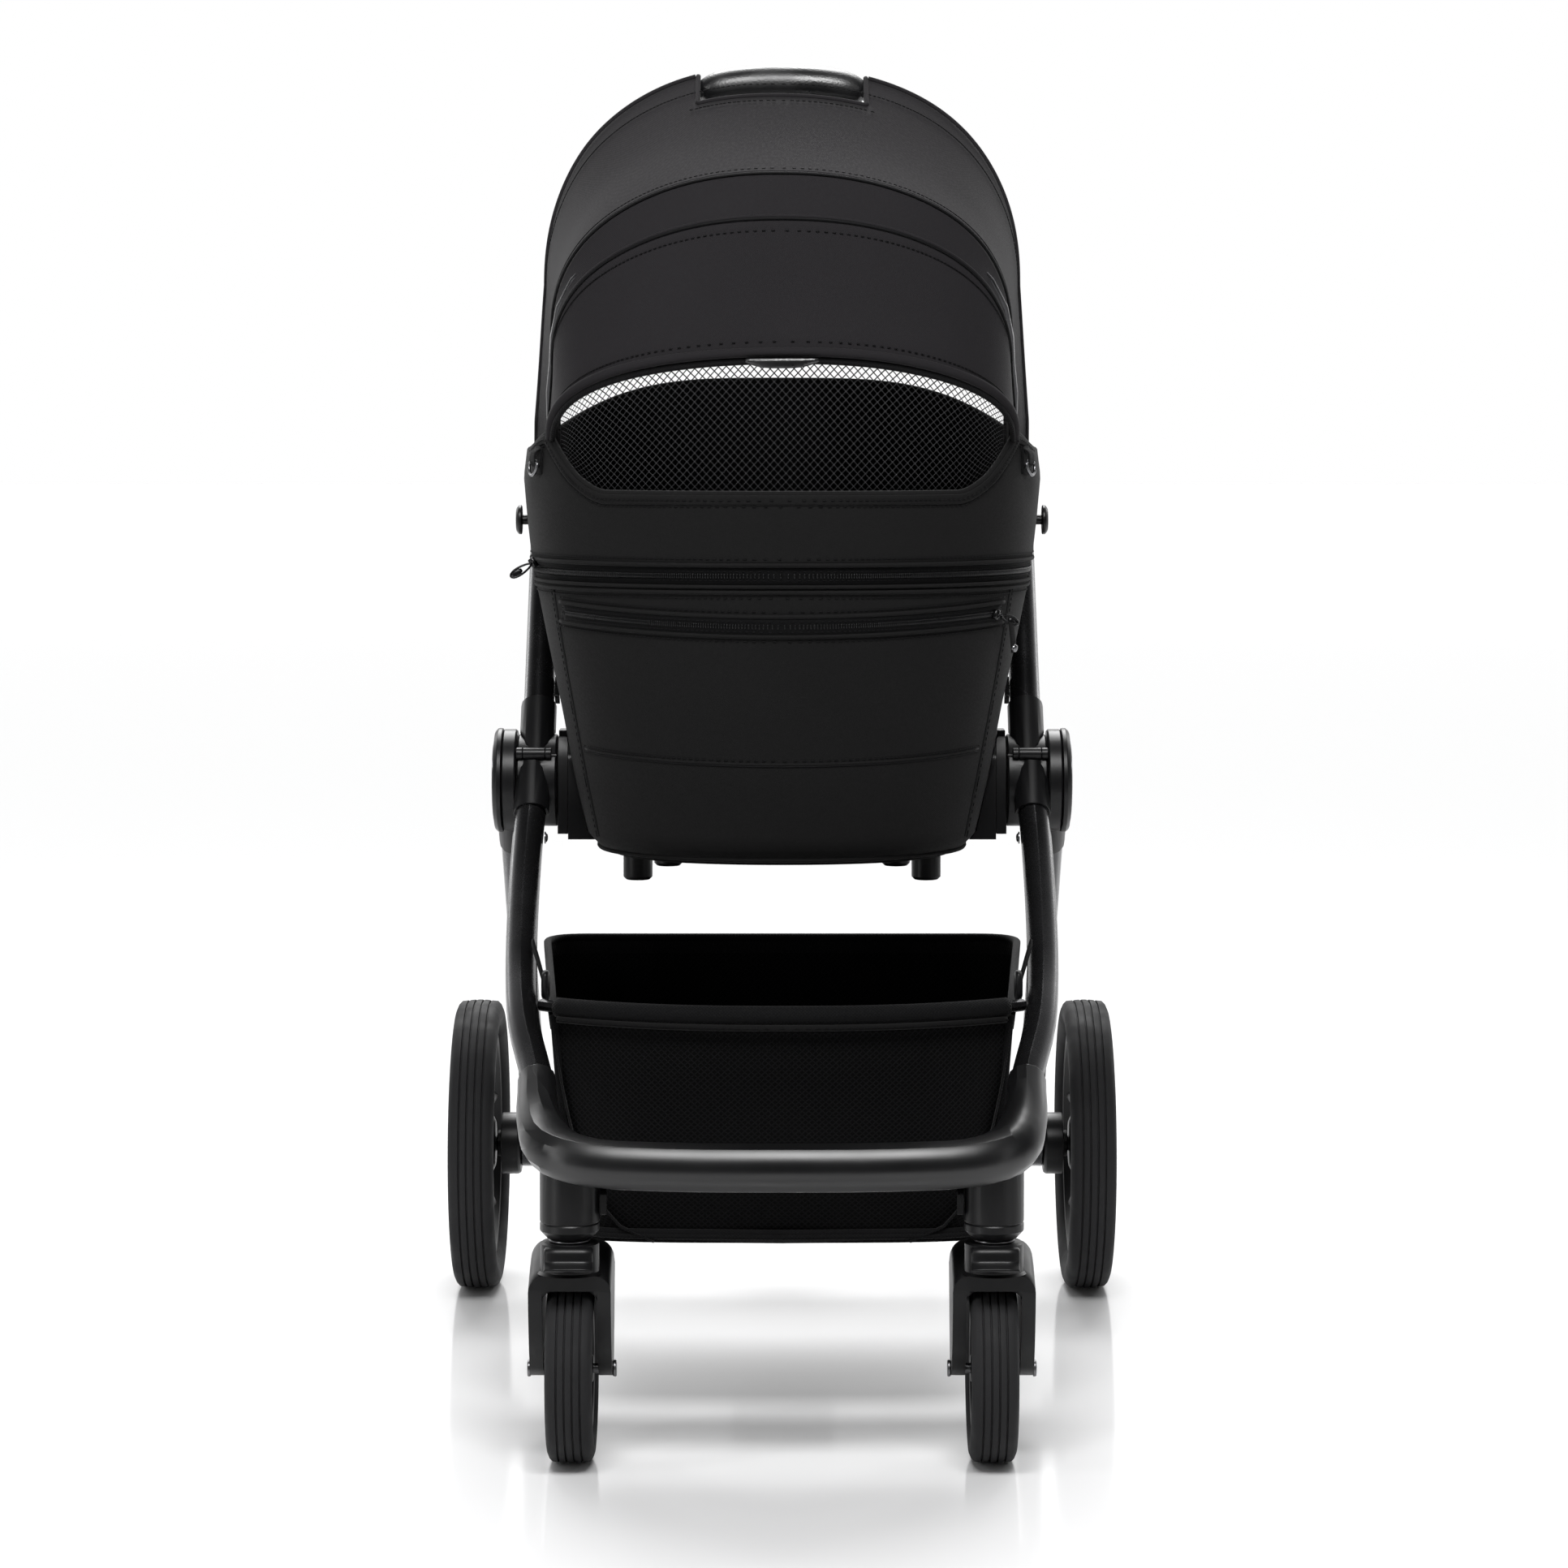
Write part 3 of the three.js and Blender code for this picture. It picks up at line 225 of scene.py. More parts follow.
def rubber_look(name, colour):
    """Tyre rubber: matt, with a dusty bloom and a fine moulded texture."""
    look = Look(name, colour, 0.72, specular_ior_level=0.16)
    dusty = look.noise(35, 5, roughness=0.6)
    look.shade(dusty, 0.75, 1.35)
    look.set(look.shader, "Roughness", look.between(dusty, 0.3, 0.7, 0.62, 0.85))
    look.bump(look.noise(900, 3), 0.0003, 0.35)
    return look


def leather_look(name, colour):
    """Smooth synthetic leather: small cells between fine creases, glossy on the worn parts."""
    look = Look(name, colour, 0.34, specular_ior_level=0.55, coat_weight=0.12, coat_roughness=0.25)
    cells = look.node("ShaderNodeTexVoronoi", Vector=look.place(), Scale=620.0)
    worn = look.noise(26, 3)
    look.set(look.shader, "Roughness", look.between(worn, 0.3, 0.7, 0.26, 0.46))
    look.shade(worn, 0.85, 1.2)
    look.bump(cells.outputs["Distance"], 0.0003, 0.35)
    look.bump(look.noise(90, 4), 0.0008, 0.2)
    return look


# The hood's cloth is the body's charcoal cloth painted about twice as bright: painted light, for the
# light falling on the hood from above.
HOOD_CLOTH_PAINTED_LIGHTER = cloth_look("cloth_hood_charcoal_painted_lighter", (0.0124, 0.0115, 0.0127))
CLOTH = cloth_look("cloth_charcoal", (0.0064, 0.0063, 0.0064))
CLOTH_SOLID = cloth_look("cloth_charcoal_base", (0.0064, 0.0063, 0.0064), "Object")
LINING = cloth_look("lining_plush", (0.0060, 0.0060, 0.0066), "Object", 0.0016, 0.0005)
WEBBING = cloth_look("webbing_black", (0.0038, 0.0038, 0.0041), "UV", 0.0014, 0.0005)
TAPE = cloth_look("zip_tape_black", (0.0022, 0.0022, 0.0024), "UV", 0.0011, 0.0004)
# Sewing thread. The same dark colour is laid as cords in the seams' creases, where it is painted shade.
THREAD_AND_CREASE_SHADE = Look("sewing_thread_and_crease_shade", (0.0030, 0.0030, 0.0033), 0.6, specular_ior_level=0.1)
THREAD_AND_CREASE_SHADE.shade(THREAD_AND_CREASE_SHADE.noise(3000, 2), 0.6, 1.5)
WINDOW_NET = net_look("window_net", (0.021, 0.021, 0.022), 0.0062, 0.0052, 0.24)
BASKET_NET = net_look("basket_net", (0.0036, 0.0036, 0.0038), 0.0052, 0.0048, 0.42, backed=True)
PLASTIC = plastic_look("plastic_black", (0.0045, 0.0045, 0.0049), 0.36)
PLASTIC_SATIN = plastic_look("plastic_satin_black", (0.0045, 0.0045, 0.0049), 0.31, 0.5)
PLASTIC_FINE = plastic_look("plastic_black_smooth", (0.0040, 0.0040, 0.0043), 0.26)
METAL = metal_look("tube_satin_black", (0.042, 0.042, 0.044), 0.24)
DARK_STEEL = metal_look("steel_blackened", (0.16, 0.16, 0.165), 0.32, 1.0)
RUBBER = rubber_look("tyre_rubber", (0.0175, 0.0175, 0.0183))
LEATHER = leather_look("grip_leather", (0.006, 0.006, 0.0065))


# ---- mesh builders ----------------------------------------------------------------------

def placed(name, data):
    """A new object in the scene that holds a mesh, a light or a camera."""
    made = bpy.data.objects.new(name, data)
    bpy.context.scene.collection.objects.link(made)
    return made


def finished(name, mesh, look, body, stands_for=()):
    """An object made of a mesh, smooth, in its material, riding on a body."""
    made = placed(name, mesh)
    mesh.materials.append(look.material)
    mesh.polygons.foreach_set("use_smooth", [True] * len(mesh.polygons))
    if body:
        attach(made, body)
    if stands_for:
        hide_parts(*stands_for)
    return made


def array_of(points):
    return np.array([tuple(p) for p in points], float)


def grid_of(rows):
    return np.array([array_of(row) for row in rows])


def mesh_of(name, points, faces):
    mesh = bpy.data.meshes.new(name)
    mesh.from_pydata([tuple(p) for p in points], [], faces)
    mesh.validate()
    mesh.update()
    return mesh


@contextlib.contextmanager
def editing(mesh):
    """A mesh opened for editing, and written back at the end of the block."""
    work = bmesh.new()
    work.from_mesh(mesh)
    yield work
    work.to_mesh(mesh)
    work.free()


def outward(mesh):
    """Turns the faces of a closed mesh outwards."""
    with editing(mesh) as work:
        bmesh.ops.recalc_face_normals(work, faces=work.faces)
    return mesh


def set_uv(mesh, uv):
    """Gives each corner its point's UV, in metres, so a weave keeps its real size."""
    layer = mesh.uv_layers.new(name="cloth")
    corner = np.zeros(len(mesh.loops), int)
    mesh.loops.foreach_get("vertex_index", corner)
    layer.data.foreach_set("uv", np.asarray(uv, float)[corner].ravel())


def grid_mesh(name, rows, closed=False, keep=None):
    """A surface through rows of points. keep(row, column) drops the faces of a cut-out."""
    points = grid_of(rows)
    count, width = points.shape[:2]
    wrap = width if closed else width - 1
    faces = []
    for row in range(count - 1):
        for column in range(wrap):
            if keep is None or keep(row, column):
                after = (column + 1) % width
                start, above = row * width, (row + 1) * width
                faces.append((start + column, start + after, above + after, above + column))
    mesh = mesh_of(name, points.reshape(-1, 3), faces)
    across = np.linalg.norm(np.diff(points, axis=1), axis=2).cumsum(axis=1)
    across = np.hstack([np.zeros((count, 1)), across])
    across -= across[:, width // 2][:, None]
    up = np.linalg.norm(np.diff(points, axis=0), axis=2).mean(axis=1).cumsum()
    up = np.concatenate([[0], up])
    if keep is None:
        uv = np.stack([across, np.repeat(up[:, None], width, axis=1)], axis=2)
        set_uv(mesh, uv.reshape(-1, 2))
    return mesh


def flat_size(rows):
    """The width, length and area in which a grid of cloth was cut."""
    points = grid_of(rows)
    width = np.linalg.norm(np.diff(points, axis=1), axis=2).sum(axis=1).max()
    length = np.linalg.norm(np.diff(points, axis=0), axis=2).sum(axis=0).max()
    along = np.diff(points, axis=1)[:-1]
    up = np.diff(points, axis=0)[:, :-1]
    area = np.linalg.norm(np.cross(along, up), axis=2).sum()
    return (float(width), float(length)), float(min(area, width * length))


def spaced(path, count, closed=False):
    """The same line as count points at equal distances."""
    line = array_of(path)
    if closed:
        line = np.vstack([line, line[:1]])
    run = np.concatenate([[0], np.linalg.norm(np.diff(line, axis=0), axis=1).cumsum()])
    at = np.linspace(0, run[-1], count + 1 if closed else count)
    found = np.stack([np.interp(at, run, line[:, axis]) for axis in range(line.shape[1])], axis=1)
    return found[:-1] if closed else found


def curve_through(points, steps=10, closed=False):
    """A smooth line through a few points."""
    given = [Vector(p) for p in points]
    count = len(given)
    line = []
    for index in range(count if closed else count - 1):
        if closed:
            four = [given[(index + step) % count] for step in (-1, 0, 1, 2)]
        else:
            four = [given[min(max(index + step, 0), count - 1)] for step in (-1, 0, 1, 2)]
        before, start, end, after = four
        for step in range(steps):
            t = step / steps
            line.append(0.5 * (
                2 * start + (end - before) * t
                + (2 * before - 5 * start + 4 * end - after) * t ** 2
                + (3 * start - before - 3 * end + after) * t ** 3
            ))
    return line if closed else line + [given[-1]]


def unit(rows):
    return rows / np.maximum(np.linalg.norm(rows, axis=-1, keepdims=True), 1e-12)


def framed(path, ups, closed=False):
    """The points of a path, and its tangent, side and up directions at each of them."""
    line = array_of(path)
    if closed:
        tangent = unit(np.roll(line, -1, axis=0) - np.roll(line, 1, axis=0))
    else:
        tangent = unit(np.gradient(line, axis=0))
    up = np.array(ups, float)
    up = np.broadcast_to(up, line.shape) if up.ndim == 1 else up
    up = unit(up - (up * tangent).sum(axis=1, keepdims=True) * tangent)
    return line, tangent, np.cross(tangent, up), up


def round_section(radius, sides=10, squash=1.0):
    """A round or oval outline as [side, up] offsets."""
    turns = [2 * math.pi * i / sides for i in range(sides)]
    return [(radius * math.cos(t), radius * squash * math.sin(t)) for t in turns]


def band_section(width, thickness):
    """A flat band with rounded edges, lying on the path."""
    half, edge = width / 2, thickness * 0.6
    right = [(half * 0.5, 1.1), (half - edge, 1.0), (half, 0.3), (half - edge, -0.2)]
    left = [(-side, rise) for side, rise in reversed(right)]
    outline = [*left[1:], (0, 1.14), *right, left[0]]
    return [(side, rise * thickness) for side, rise in outline]


def swept_mesh(name, path, ups, section, closed=False, sizes=None):
    """A section carried along a path, with closed ends."""
    line, _, side, up = framed(path, ups, closed)
    outline = np.array(section, float)
    size = np.ones(len(line)) if sizes is None else np.array(sizes, float)
    rings = (
        line[:, None] + side[:, None] * (outline[:, 0][None, :] * size[:, None])[:, :, None]
        + up[:, None] * (outline[:, 1][None, :] * size[:, None])[:, :, None]
    )
    count, around = rings.shape[:2]
    faces = []
    for ring in range(count if closed else count - 1):
        here, there = ring * around, ((ring + 1) % count) * around
        for i in range(around):
            after = (i + 1) % around
            faces.append((here + i, here + after, there + after, there + i))
    if not closed:
        faces.append(tuple(range(around)))
        faces.append(tuple(range((count - 1) * around, count * around))[::-1])
    mesh = mesh_of(name, rings.reshape(-1, 3), faces)
    run = np.concatenate([[0], np.linalg.norm(np.diff(line, axis=0), axis=1).cumsum()])
    turn = np.linspace(0, np.abs(outline).max() * 6, around)
    set_uv(mesh, np.stack([np.tile(turn, count), np.repeat(run, around)], axis=1))
    return outward(mesh)


def swept(name, path, ups, section, look, body, slot, closed=False, sizes=None, stands_for=()):
    mesh = swept_mesh(name, path, ups, section, closed, sizes)
    return finished(name, mesh, look, body, stands_for)


def strip(name, path, ups, section, look, body="carrier", closed=False):
    """A cord, tape or band of cloth along a path."""
    swept(name, path, ups, section, look, body, "cloth", closed)


def beads(path, ups, pitch, half_long, half_thick, crosswise=False, lift=0.0, closed=False):
    """Short rounded threads or teeth, one each pitch, along a path or across it."""
    line, _, _, up = framed(path, ups, closed)
    both = np.hstack([line, up])
    length = np.linalg.norm(np.diff(line, axis=0), axis=1).sum()
    stations = spaced(both, max(3, round(length / pitch)), closed)
    line, tangent, side, up = framed(stations[:, :3], stations[:, 3:], closed)
    direction, other = (side, tangent) if crosswise else (tangent, side)
    rings = []
    for along, size in ((-1, 0.4), (-0.6, 1), (0.6, 1), (1, 0.4)):
        for turn in range(5):
            angle = 2 * math.pi * turn / 5
            rings.append(
                line + direction * along * half_long
                + other * math.cos(angle) * half_thick * size
                + up * (math.sin(angle) * half_thick * size + lift)
            )
    points = np.stack(rings, axis=1)
    pattern = [
        (ring * 5 + i, ring * 5 + (i + 1) % 5, (ring + 1) * 5 + (i + 1) % 5, (ring + 1) * 5 + i)
        for ring in range(3) for i in range(5)
    ]
    pattern += [(4, 3, 2, 1, 0), (15, 16, 17, 18, 19)]
    faces = [
        tuple(start * 20 + corner for corner in face)
        for start in range(len(line)) for face in pattern
    ]
    return points.reshape(-1, 3), faces


def beads_mesh(name, runs):
    """Several runs of threads or teeth as one mesh."""
    points, faces, start = [], [], 0
    for run_points, run_faces in runs:
        points.append(run_points)
        faces += [tuple(start + corner for corner in face) for face in run_faces]
        start += len(run_points)
    return outward(mesh_of(name, np.vstack(points), faces))


def sewn(path, ups, pitch=0.0042, closed=False, lift=0.0002):
    """One run of lock stitches."""
    return beads(path, ups, pitch, pitch * 0.36, 0.00042, closed=closed, lift=lift)


def stitching(name, runs, body):
    return finished(name, beads_mesh(name, runs), THREAD_AND_CREASE_SHADE, body)


def turned(name, profile, centre, axis, look, body, sides=64, stands_for=()):
    """A profile of (radius, distance along the axis) turned about a line through centre."""
    direction = Vector(axis).normalized()
    first = direction.orthogonal().normalized()
    second = direction.cross(first)
    rings = []
    for radius, along in profile:
        ring = []
        for i in range(sides):
            turn = 2 * math.pi * i / sides
            spoke = first * math.cos(turn) + second * math.sin(turn)
            ring.append(Vector(centre) + direction * along + spoke * max(radius, 1e-5))
        rings.append(ring)
    mesh = grid_mesh(name, rings, closed=True)
    with editing(mesh) as work:
        bmesh.ops.remove_doubles(work, verts=work.verts, dist=2e-5)
        bmesh.ops.holes_fill(work, edges=work.edges)
        bmesh.ops.recalc_face_normals(work, faces=work.faces)
    made = finished(name, mesh, look, body, stands_for)
    mesh.set_sharp_from_angle(angle=math.radians(50))
    return made


def joined(name, objects):
    """Several objects of one body as one."""
    first = objects[0]
    with bpy.context.temp_override(
        active_object=first, selected_editable_objects=objects, object=first,
        selected_objects=objects,
    ):
        bpy.ops.object.join()
    first.name = name
    return first


# ---- CAD nodes that keep their shape ----------------------------------------------------

def dressed(node, look, bevel=0.0008):
    """Gives a CAD node a material and slightly rounded edges. It drops the mesh's materials, custom
    normals and sharp marks and shades its faces smooth; its points stay as they are.
    """
    piece = frame["nodes"][node]
    piece.data.materials.clear()
    piece.data.materials.append(look.material)
    normals = piece.data.attributes.get("custom_normal")
    if normals:
        piece.data.attributes.remove(normals)
    for sharp in ("sharp_edge", "sharp_face"):
        found = piece.data.attributes.get(sharp)
        if found:
            piece.data.attributes.remove(found)
    piece.data.polygons.foreach_set("use_smooth", [True] * len(piece.data.polygons))
    weld = piece.modifiers.new("weld", "WELD")
    weld.merge_threshold = 1e-5
    rounded = piece.modifiers.new("edges", "BEVEL")
    rounded.width = bevel
    rounded.segments = 2
    rounded.limit_method = "ANGLE"
    rounded.angle_limit = math.radians(34)
    rounded.use_clamp_overlap = True
    rounded.harden_normals = True
    return piece


def dress_frame():
    pairs = {
        METAL: ("front_leg", "rear_leg", "push_tube"),
        PLASTIC: (
            "hub_body", "rear_knuckle", "hub_cap", "brake_housing", "push_sleeve", "adaptor",
            "carrier_bracket", "swivel_housing", "hood_pivot",
        ),
        PLASTIC_FINE: ("fold_latch", "release_button", "swivel_lock"),
        DARK_STEEL: ("front_axle",),
    }
    for look, names in pairs.items():
        for name in names:
            for side in SIDES:
                dressed(f"{name}_{side}", look)
    for look, names in {
        METAL: ("handle_frame", "hood_bow", "basket_rail", "rear_axle_tube"),
        PLASTIC: ("brake_pedal", "carrier_base", "carry_handle", "height_button"),
        PLASTIC_SATIN: ("front_bar",),
    }.items():
        for name in names:
            dressed(name, look)


# ---- wheels -----------------------------------------------------------------------------

# A tyre's shoulder: the share of its wall's height, then the share of its half width.
TYRE_SHOULDER = ((0, 0.70), (0.12, 0.86), (0.4, 1.0), (0.66, 0.985), (0.84, 0.90), (0.945, 0.78))
TREAD_HALF, TREAD_GROOVES, GROOVE_HALF = 0.66, 4, 0.021
GROOVE_LIP, GROOVE_SHOULDER = 0.0455, 0.091


def tyre_profile(radius, rim, half):
    """Half-round shoulders and a crowned tread with grooves, as (radius, distance across)."""
    wall = radius - rim

    def tread_point(middle_of, share, depth):
        crowned = radius - wall * 0.05 * (middle_of / TREAD_HALF) ** 2
        return crowned - wall * depth, share

    left = [(rim + wall * rise, -share) for rise, share in TYRE_SHOULDER]
    tread = []
    for index in range(TREAD_GROOVES):
        at = -TREAD_HALF + 2 * TREAD_HALF * (index + 0.5) / TREAD_GROOVES
        for sign in (-1, 1):
            shoulder = at + sign * GROOVE_SHOULDER
            flank = [
                tread_point(shoulder, shoulder, 0),
                tread_point(at, at + sign * GROOVE_LIP, 0.006),
                tread_point(at, at + sign * GROOVE_HALF, 0.085),
            ]
            tread += flank[::-sign]
    right = [(r, -share) for r, share in reversed(left)]
    return [(r, share * half) for r, share in left + tread + right]


def make_tyre(node, rim_node, body):
    lo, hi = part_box(node)
    centre = (lo + hi) / 2
    radius = (hi.z - lo.z) / 2
    rim = (high(rim_node).z - low(rim_node).z) / 2 + 0.0004
    profile = tyre_profile(radius, rim, (hi.x - lo.x) / 2)
    profile.append(profile[0])
    turned(f"{node}_rubber", profile, centre, (1, 0, 0), RUBBER, body, 128, [node])


def make_rim(node, body, side, spokes, twin):
    """A dished ring, a hub with a cap, and rounded spokes that widen at both ends."""
    lo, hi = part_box(node)
    centre = (lo + hi) / 2
    radius, half = (hi.z - lo.z) / 2, (hi.x - lo.x) / 2
    lip = radius * 0.12
    ring = turned(node + "_shape", [
        (radius, -half * 0.8), (radius - lip * 0.1, -half * 0.9), (radius - lip * 0.5, -half * 0.86),
        (radius - lip * 0.7, -half * 0.55), (radius - lip * 0.95, -half * 0.3),
        (radius - lip * 0.95, half * 0.3), (radius - lip * 0.7, half * 0.55),
        (radius - lip * 0.5, half * 0.86), (radius - lip * 0.1, half * 0.9),
        (radius, half * 0.8), (radius, -half * 0.8),
    ], centre, (1, 0, 0), PLASTIC, body, 96)
    hub = radius * 0.24
    boss = turned(node + "_boss", [
        (0, -half * 0.96), (hub * 0.8, -half * 0.96), (hub, -half * 0.8), (hub, half * 0.8),
        (hub * 0.8, half * 0.96), (hub * 0.62, half * 0.96), (hub * 0.56, half * 0.8), (0, half * 0.8),
    ], centre, (side, 0, 0), PLASTIC, body, 48)
    parts = [ring, boss]
    spread = 0.13 if twin else 0
    for index in range(spokes):
        for lean in ((-spread, spread) if twin else (0,)):
            turn = 2 * math.pi * index / spokes
            start = Vector((0, math.sin(turn + lean), math.cos(turn + lean))) * hub * 0.8
            end = Vector((0, math.sin(turn + lean * 1.9), math.cos(turn + lean * 1.9)))
            end *= radius - lip * 0.6
            path = [centre + start.lerp(end, t / 8) for t in range(9)]
            sizes = [1.0 + 0.5 * abs(t / 4 - 1) ** 3 for t in range(9)]
            parts.append(swept(
                f"{node}_spoke_{index}_{lean:+.1f}", path, (1, 0, 0),
                round_section(half * 0.34, 14, 1.35), PLASTIC, body, "rim", sizes=sizes,
            ))
    made = joined(node + "_moulding", parts)
    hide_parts(node)
    made.data.set_sharp_from_angle(angle=math.radians(50))


def make_wheels():
    for side, sign in SIDES.items():
        make_tyre(f"rear_tyre_{side}", f"rear_rim_{side}", f"rear_wheel_{side}")
        make_tyre(f"front_tyre_{side}", f"front_rim_{side}", f"front_wheel_{side}")
        make_rim(f"rear_rim_{side}", f"rear_wheel_{side}", sign, 6, True)
        make_rim(f"front_rim_{side}", f"front_wheel_{side}", sign, 5, False)


# ---- caster forks -----------------------------------------------------------------------

# Distance behind the axle, then the height above it of the fork's top, arch and lower end.
FORK_STATIONS = (
    (-0.0385, 0.0790, 0.0672, 0.0660), (-0.0370, 0.0806, 0.0665, 0.0520),
    (-0.0300, 0.0835, 0.0665, 0.0260), (-0.0200, 0.0885, 0.0745, 0.0050),
    (-0.0100, 0.0925, 0.0745, -0.0030), (0.0000, 0.0955, 0.0745, -0.0055),
    (0.0100, 0.0965, 0.0745, -0.0030), (0.0200, 0.0955, 0.0745, 0.0050),
    (0.0320, 0.0920, 0.0745, 0.0340), (0.0420, 0.0860, 0.0745, 0.0660),
    (0.0440, 0.0840, 0.0760, 0.0730),
)


FORK_HALF, FORK_INNER = 0.0312, 0.0208


def rounded_corner(corner, start, end, radius):
    """The arc that rounds the corner between the directions towards start and end."""
    first = (start - corner).normalized() * radius
    last = (end - corner).normalized() * radius
    centre = corner + first + last
    turns = [math.pi / 2 * i / 6 for i in range(7)]
    return [centre - last * math.cos(t) - first * math.sin(t) for t in turns]


def fork_ring(axle, station):
    """The fork's outline across the wheel at one distance along it: two blades and a crown."""
    behind, top, arch, foot = station
    half, inner = FORK_HALF, FORK_INNER

    def spot(x, z):
        return Vector((axle.x + x, axle.y + behind, axle.z + z))

    ring = [spot(-half, foot)]
    ring += rounded_corner(spot(-half, top), spot(-half, foot), spot(half, top), 0.013)
    ring += rounded_corner(spot(half, top), spot(-half, top), spot(half, foot), 0.013)
    ring += [spot(half, foot), spot(inner, foot)]
    bend = min(0.008, (arch - foot) * 0.9)
    ring += rounded_corner(spot(inner, arch), spot(inner, foot), spot(-inner, arch), bend)
    ring += rounded_corner(spot(-inner, arch), spot(inner, arch), spot(-inner, foot), bend)
    return ring + [spot(-inner, foot)]


def lofted(name, rings, look, body):
    """A solid through rings of points, closed by flat ends."""
    around = len(rings[0])
    mesh = grid_mesh(name, rings, closed=True)
    with editing(mesh) as work:
        work.verts.ensure_lookup_table()
        work.faces.new(work.verts[:around])
        work.faces.new(work.verts[-around:])
        bmesh.ops.recalc_face_normals(work, faces=work.faces)
    made = finished(name, mesh, look, body)
    mesh.set_sharp_from_angle(angle=math.radians(38))
    return made


# The front panel's distance ahead of the stem, then its height above the axle.
FORK_PANEL = ((0.0180, 0.1005), (0.0215, 0.0990), (0.0235, 0.0915), (0.0305, 0.0860))
NECK_RADIUS, NECK_SQUASH = 0.0222, 0.9


def fork_neck(side, axle, stem, body):
    """The oval neck between the swivel housing and the crown, wider towards the crown."""
    top = low(f"swivel_housing_{side}").z - 0.0030
    heights = (top, top - 0.0012, top - 0.010, top - 0.022, axle.z + 0.080)
    rings = []
    for z, wide in zip(heights, (0.93, 1, 1, 1.02, 1.12)):
        outline = round_section(NECK_RADIUS, 40)
        rings.append([
            Vector((stem.x + x * wide, stem.y + y * NECK_SQUASH * wide, z)) for x, y in outline
        ])
    return lofted(f"fork_neck_{side}", rings, PLASTIC, body)


def caster_fork(side):
    """The fork over a front wheel: arched crown and blades, neck, and the neck's front panel."""
    body = f"caster_{side}"
    axle = middle(f"front_axle_{side}")
    stem = middle(f"swivel_housing_{side}")
    rings = [fork_ring(axle, station) for station in FORK_STATIONS]
    crown = lofted(f"fork_crown_{side}", rings, PLASTIC, body)
    neck = fork_neck(side, axle, stem, body)
    slope = [Vector((stem.x, stem.y - forward, axle.z + height)) for forward, height in FORK_PANEL]
    panel = swept(
        f"fork_panel_{side}", curve_through(slope, 6), (0, -1, 0.15), band_section(0.037, 0.0026),
        PLASTIC, body, "plastic",
    )
    made = joined(f"caster_fork_shape_{side}", [crown, neck, panel])
    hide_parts(f"caster_fork_{side}")


# ---- carrier body -----------------------------------------------------------------------

TUB_LOW, TUB_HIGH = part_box("carrier_tub")
TUB_HALF = TUB_HIGH.x
TUB_LONG = (TUB_HIGH.y - TUB_LOW.y) / 2
TUB_POWER = 2.3
# Height above the tub's bottom, then its share of the greatest width and length.
TUB_STATIONS = np.array([
    (0.000, 0.651, 0.659), (0.004, 0.708, 0.725), (0.015, 0.755, 0.780), (0.060, 0.806, 0.832),
    (0.120, 0.858, 0.890), (0.180, 0.918, 0.938), (0.232, 0.967, 0.978), (0.270, 0.986, 0.991),
    (0.305, 1.000, 1.000), (0.326, 0.988, 0.990), (0.390, 0.961, 0.966),
])
RIM_FRONT, RIM_HORN, RIM_SIDE, RIM_REAR = (TUB_LOW.z + h for h in (0.294, 0.340, 0.326, 0.382))
WINDOW_HALF, HORN_HALF = 0.138, 0.188
MAIN_ZIP = TUB_LOW.z + 0.2305
ZIP_HALF = 0.0085
POCKET_ZIP = TUB_LOW.z + 0.191
POCKET_HALF = 0.174


def clamp(value, lowest=0.0, highest=1.0):
    return min(max(value, lowest), highest)


def ease(value, start, end):
    share = clamp((value - start) / (end - start))
    return share * share * (3 - 2 * share)


def lerp(start, end, share):
    return start + (end - start) * share


def oval(turn):
    """How far across and along a unit of the tub's rounded outline is at a turn around it."""
    power = 2 / TUB_POWER
    across, along = math.cos(turn), math.sin(turn)
    return (
        math.copysign(abs(across) ** power, across), math.copysign(abs(along) ** power, along),
    )


def tub_slack(turn, z):
    """How far the cloth gives from its taut line: shallow hollows and a little unevenness."""
    panel = math.sin(math.pi * clamp((z - TUB_LOW.z - 0.02) / 0.2))
    place = Vector((math.cos(turn) * 2.2, math.sin(turn) * 2.2, z * 9))
    return -0.0012 * panel * abs(math.sin(turn)) + 0.0011 * noise.noise(place)


def tub_point(turn, z, inset=0.0):
    """A point on the tub's wall at a turn around it, a height and a distance in."""
    rise = z - TUB_LOW.z
    half = TUB_HALF * np.interp(rise, TUB_STATIONS[:, 0], TUB_STATIONS[:, 1]) - inset
    length = TUB_LONG * np.interp(rise, TUB_STATIONS[:, 0], TUB_STATIONS[:, 2]) - inset
    give = tub_slack(turn, z)
    across, along = oval(turn)
    return Vector(((half + give) * across, PIVOT.y + (length + give) * along, z))


def rim_height(turn):
    """The height of the tub's edge: low under the window, a horn each side, high behind."""
    aside = abs(tub_point(turn, RIM_SIDE).x)
    widest = tub_point(0, RIM_SIDE).x
    if math.sin(turn) < 0:
        rise = clamp((aside - WINDOW_HALF) / (HORN_HALF - WINDOW_HALF)) ** 1.7
        back = ease(aside, HORN_HALF, widest)
        return lerp(RIM_FRONT, RIM_HORN, rise) + (RIM_SIDE - RIM_HORN) * back
    return lerp(RIM_REAR, RIM_SIDE, (aside / widest) ** 3.6)


def tub_normal(turn, z):
    """The direction straight out of the tub's wall."""
    step = 0.002
    around = tub_point(turn + step, z) - tub_point(turn - step, z)
    upwards = tub_point(turn, z + step) - tub_point(turn, z - step)
    return around.cross(upwards).normalized()


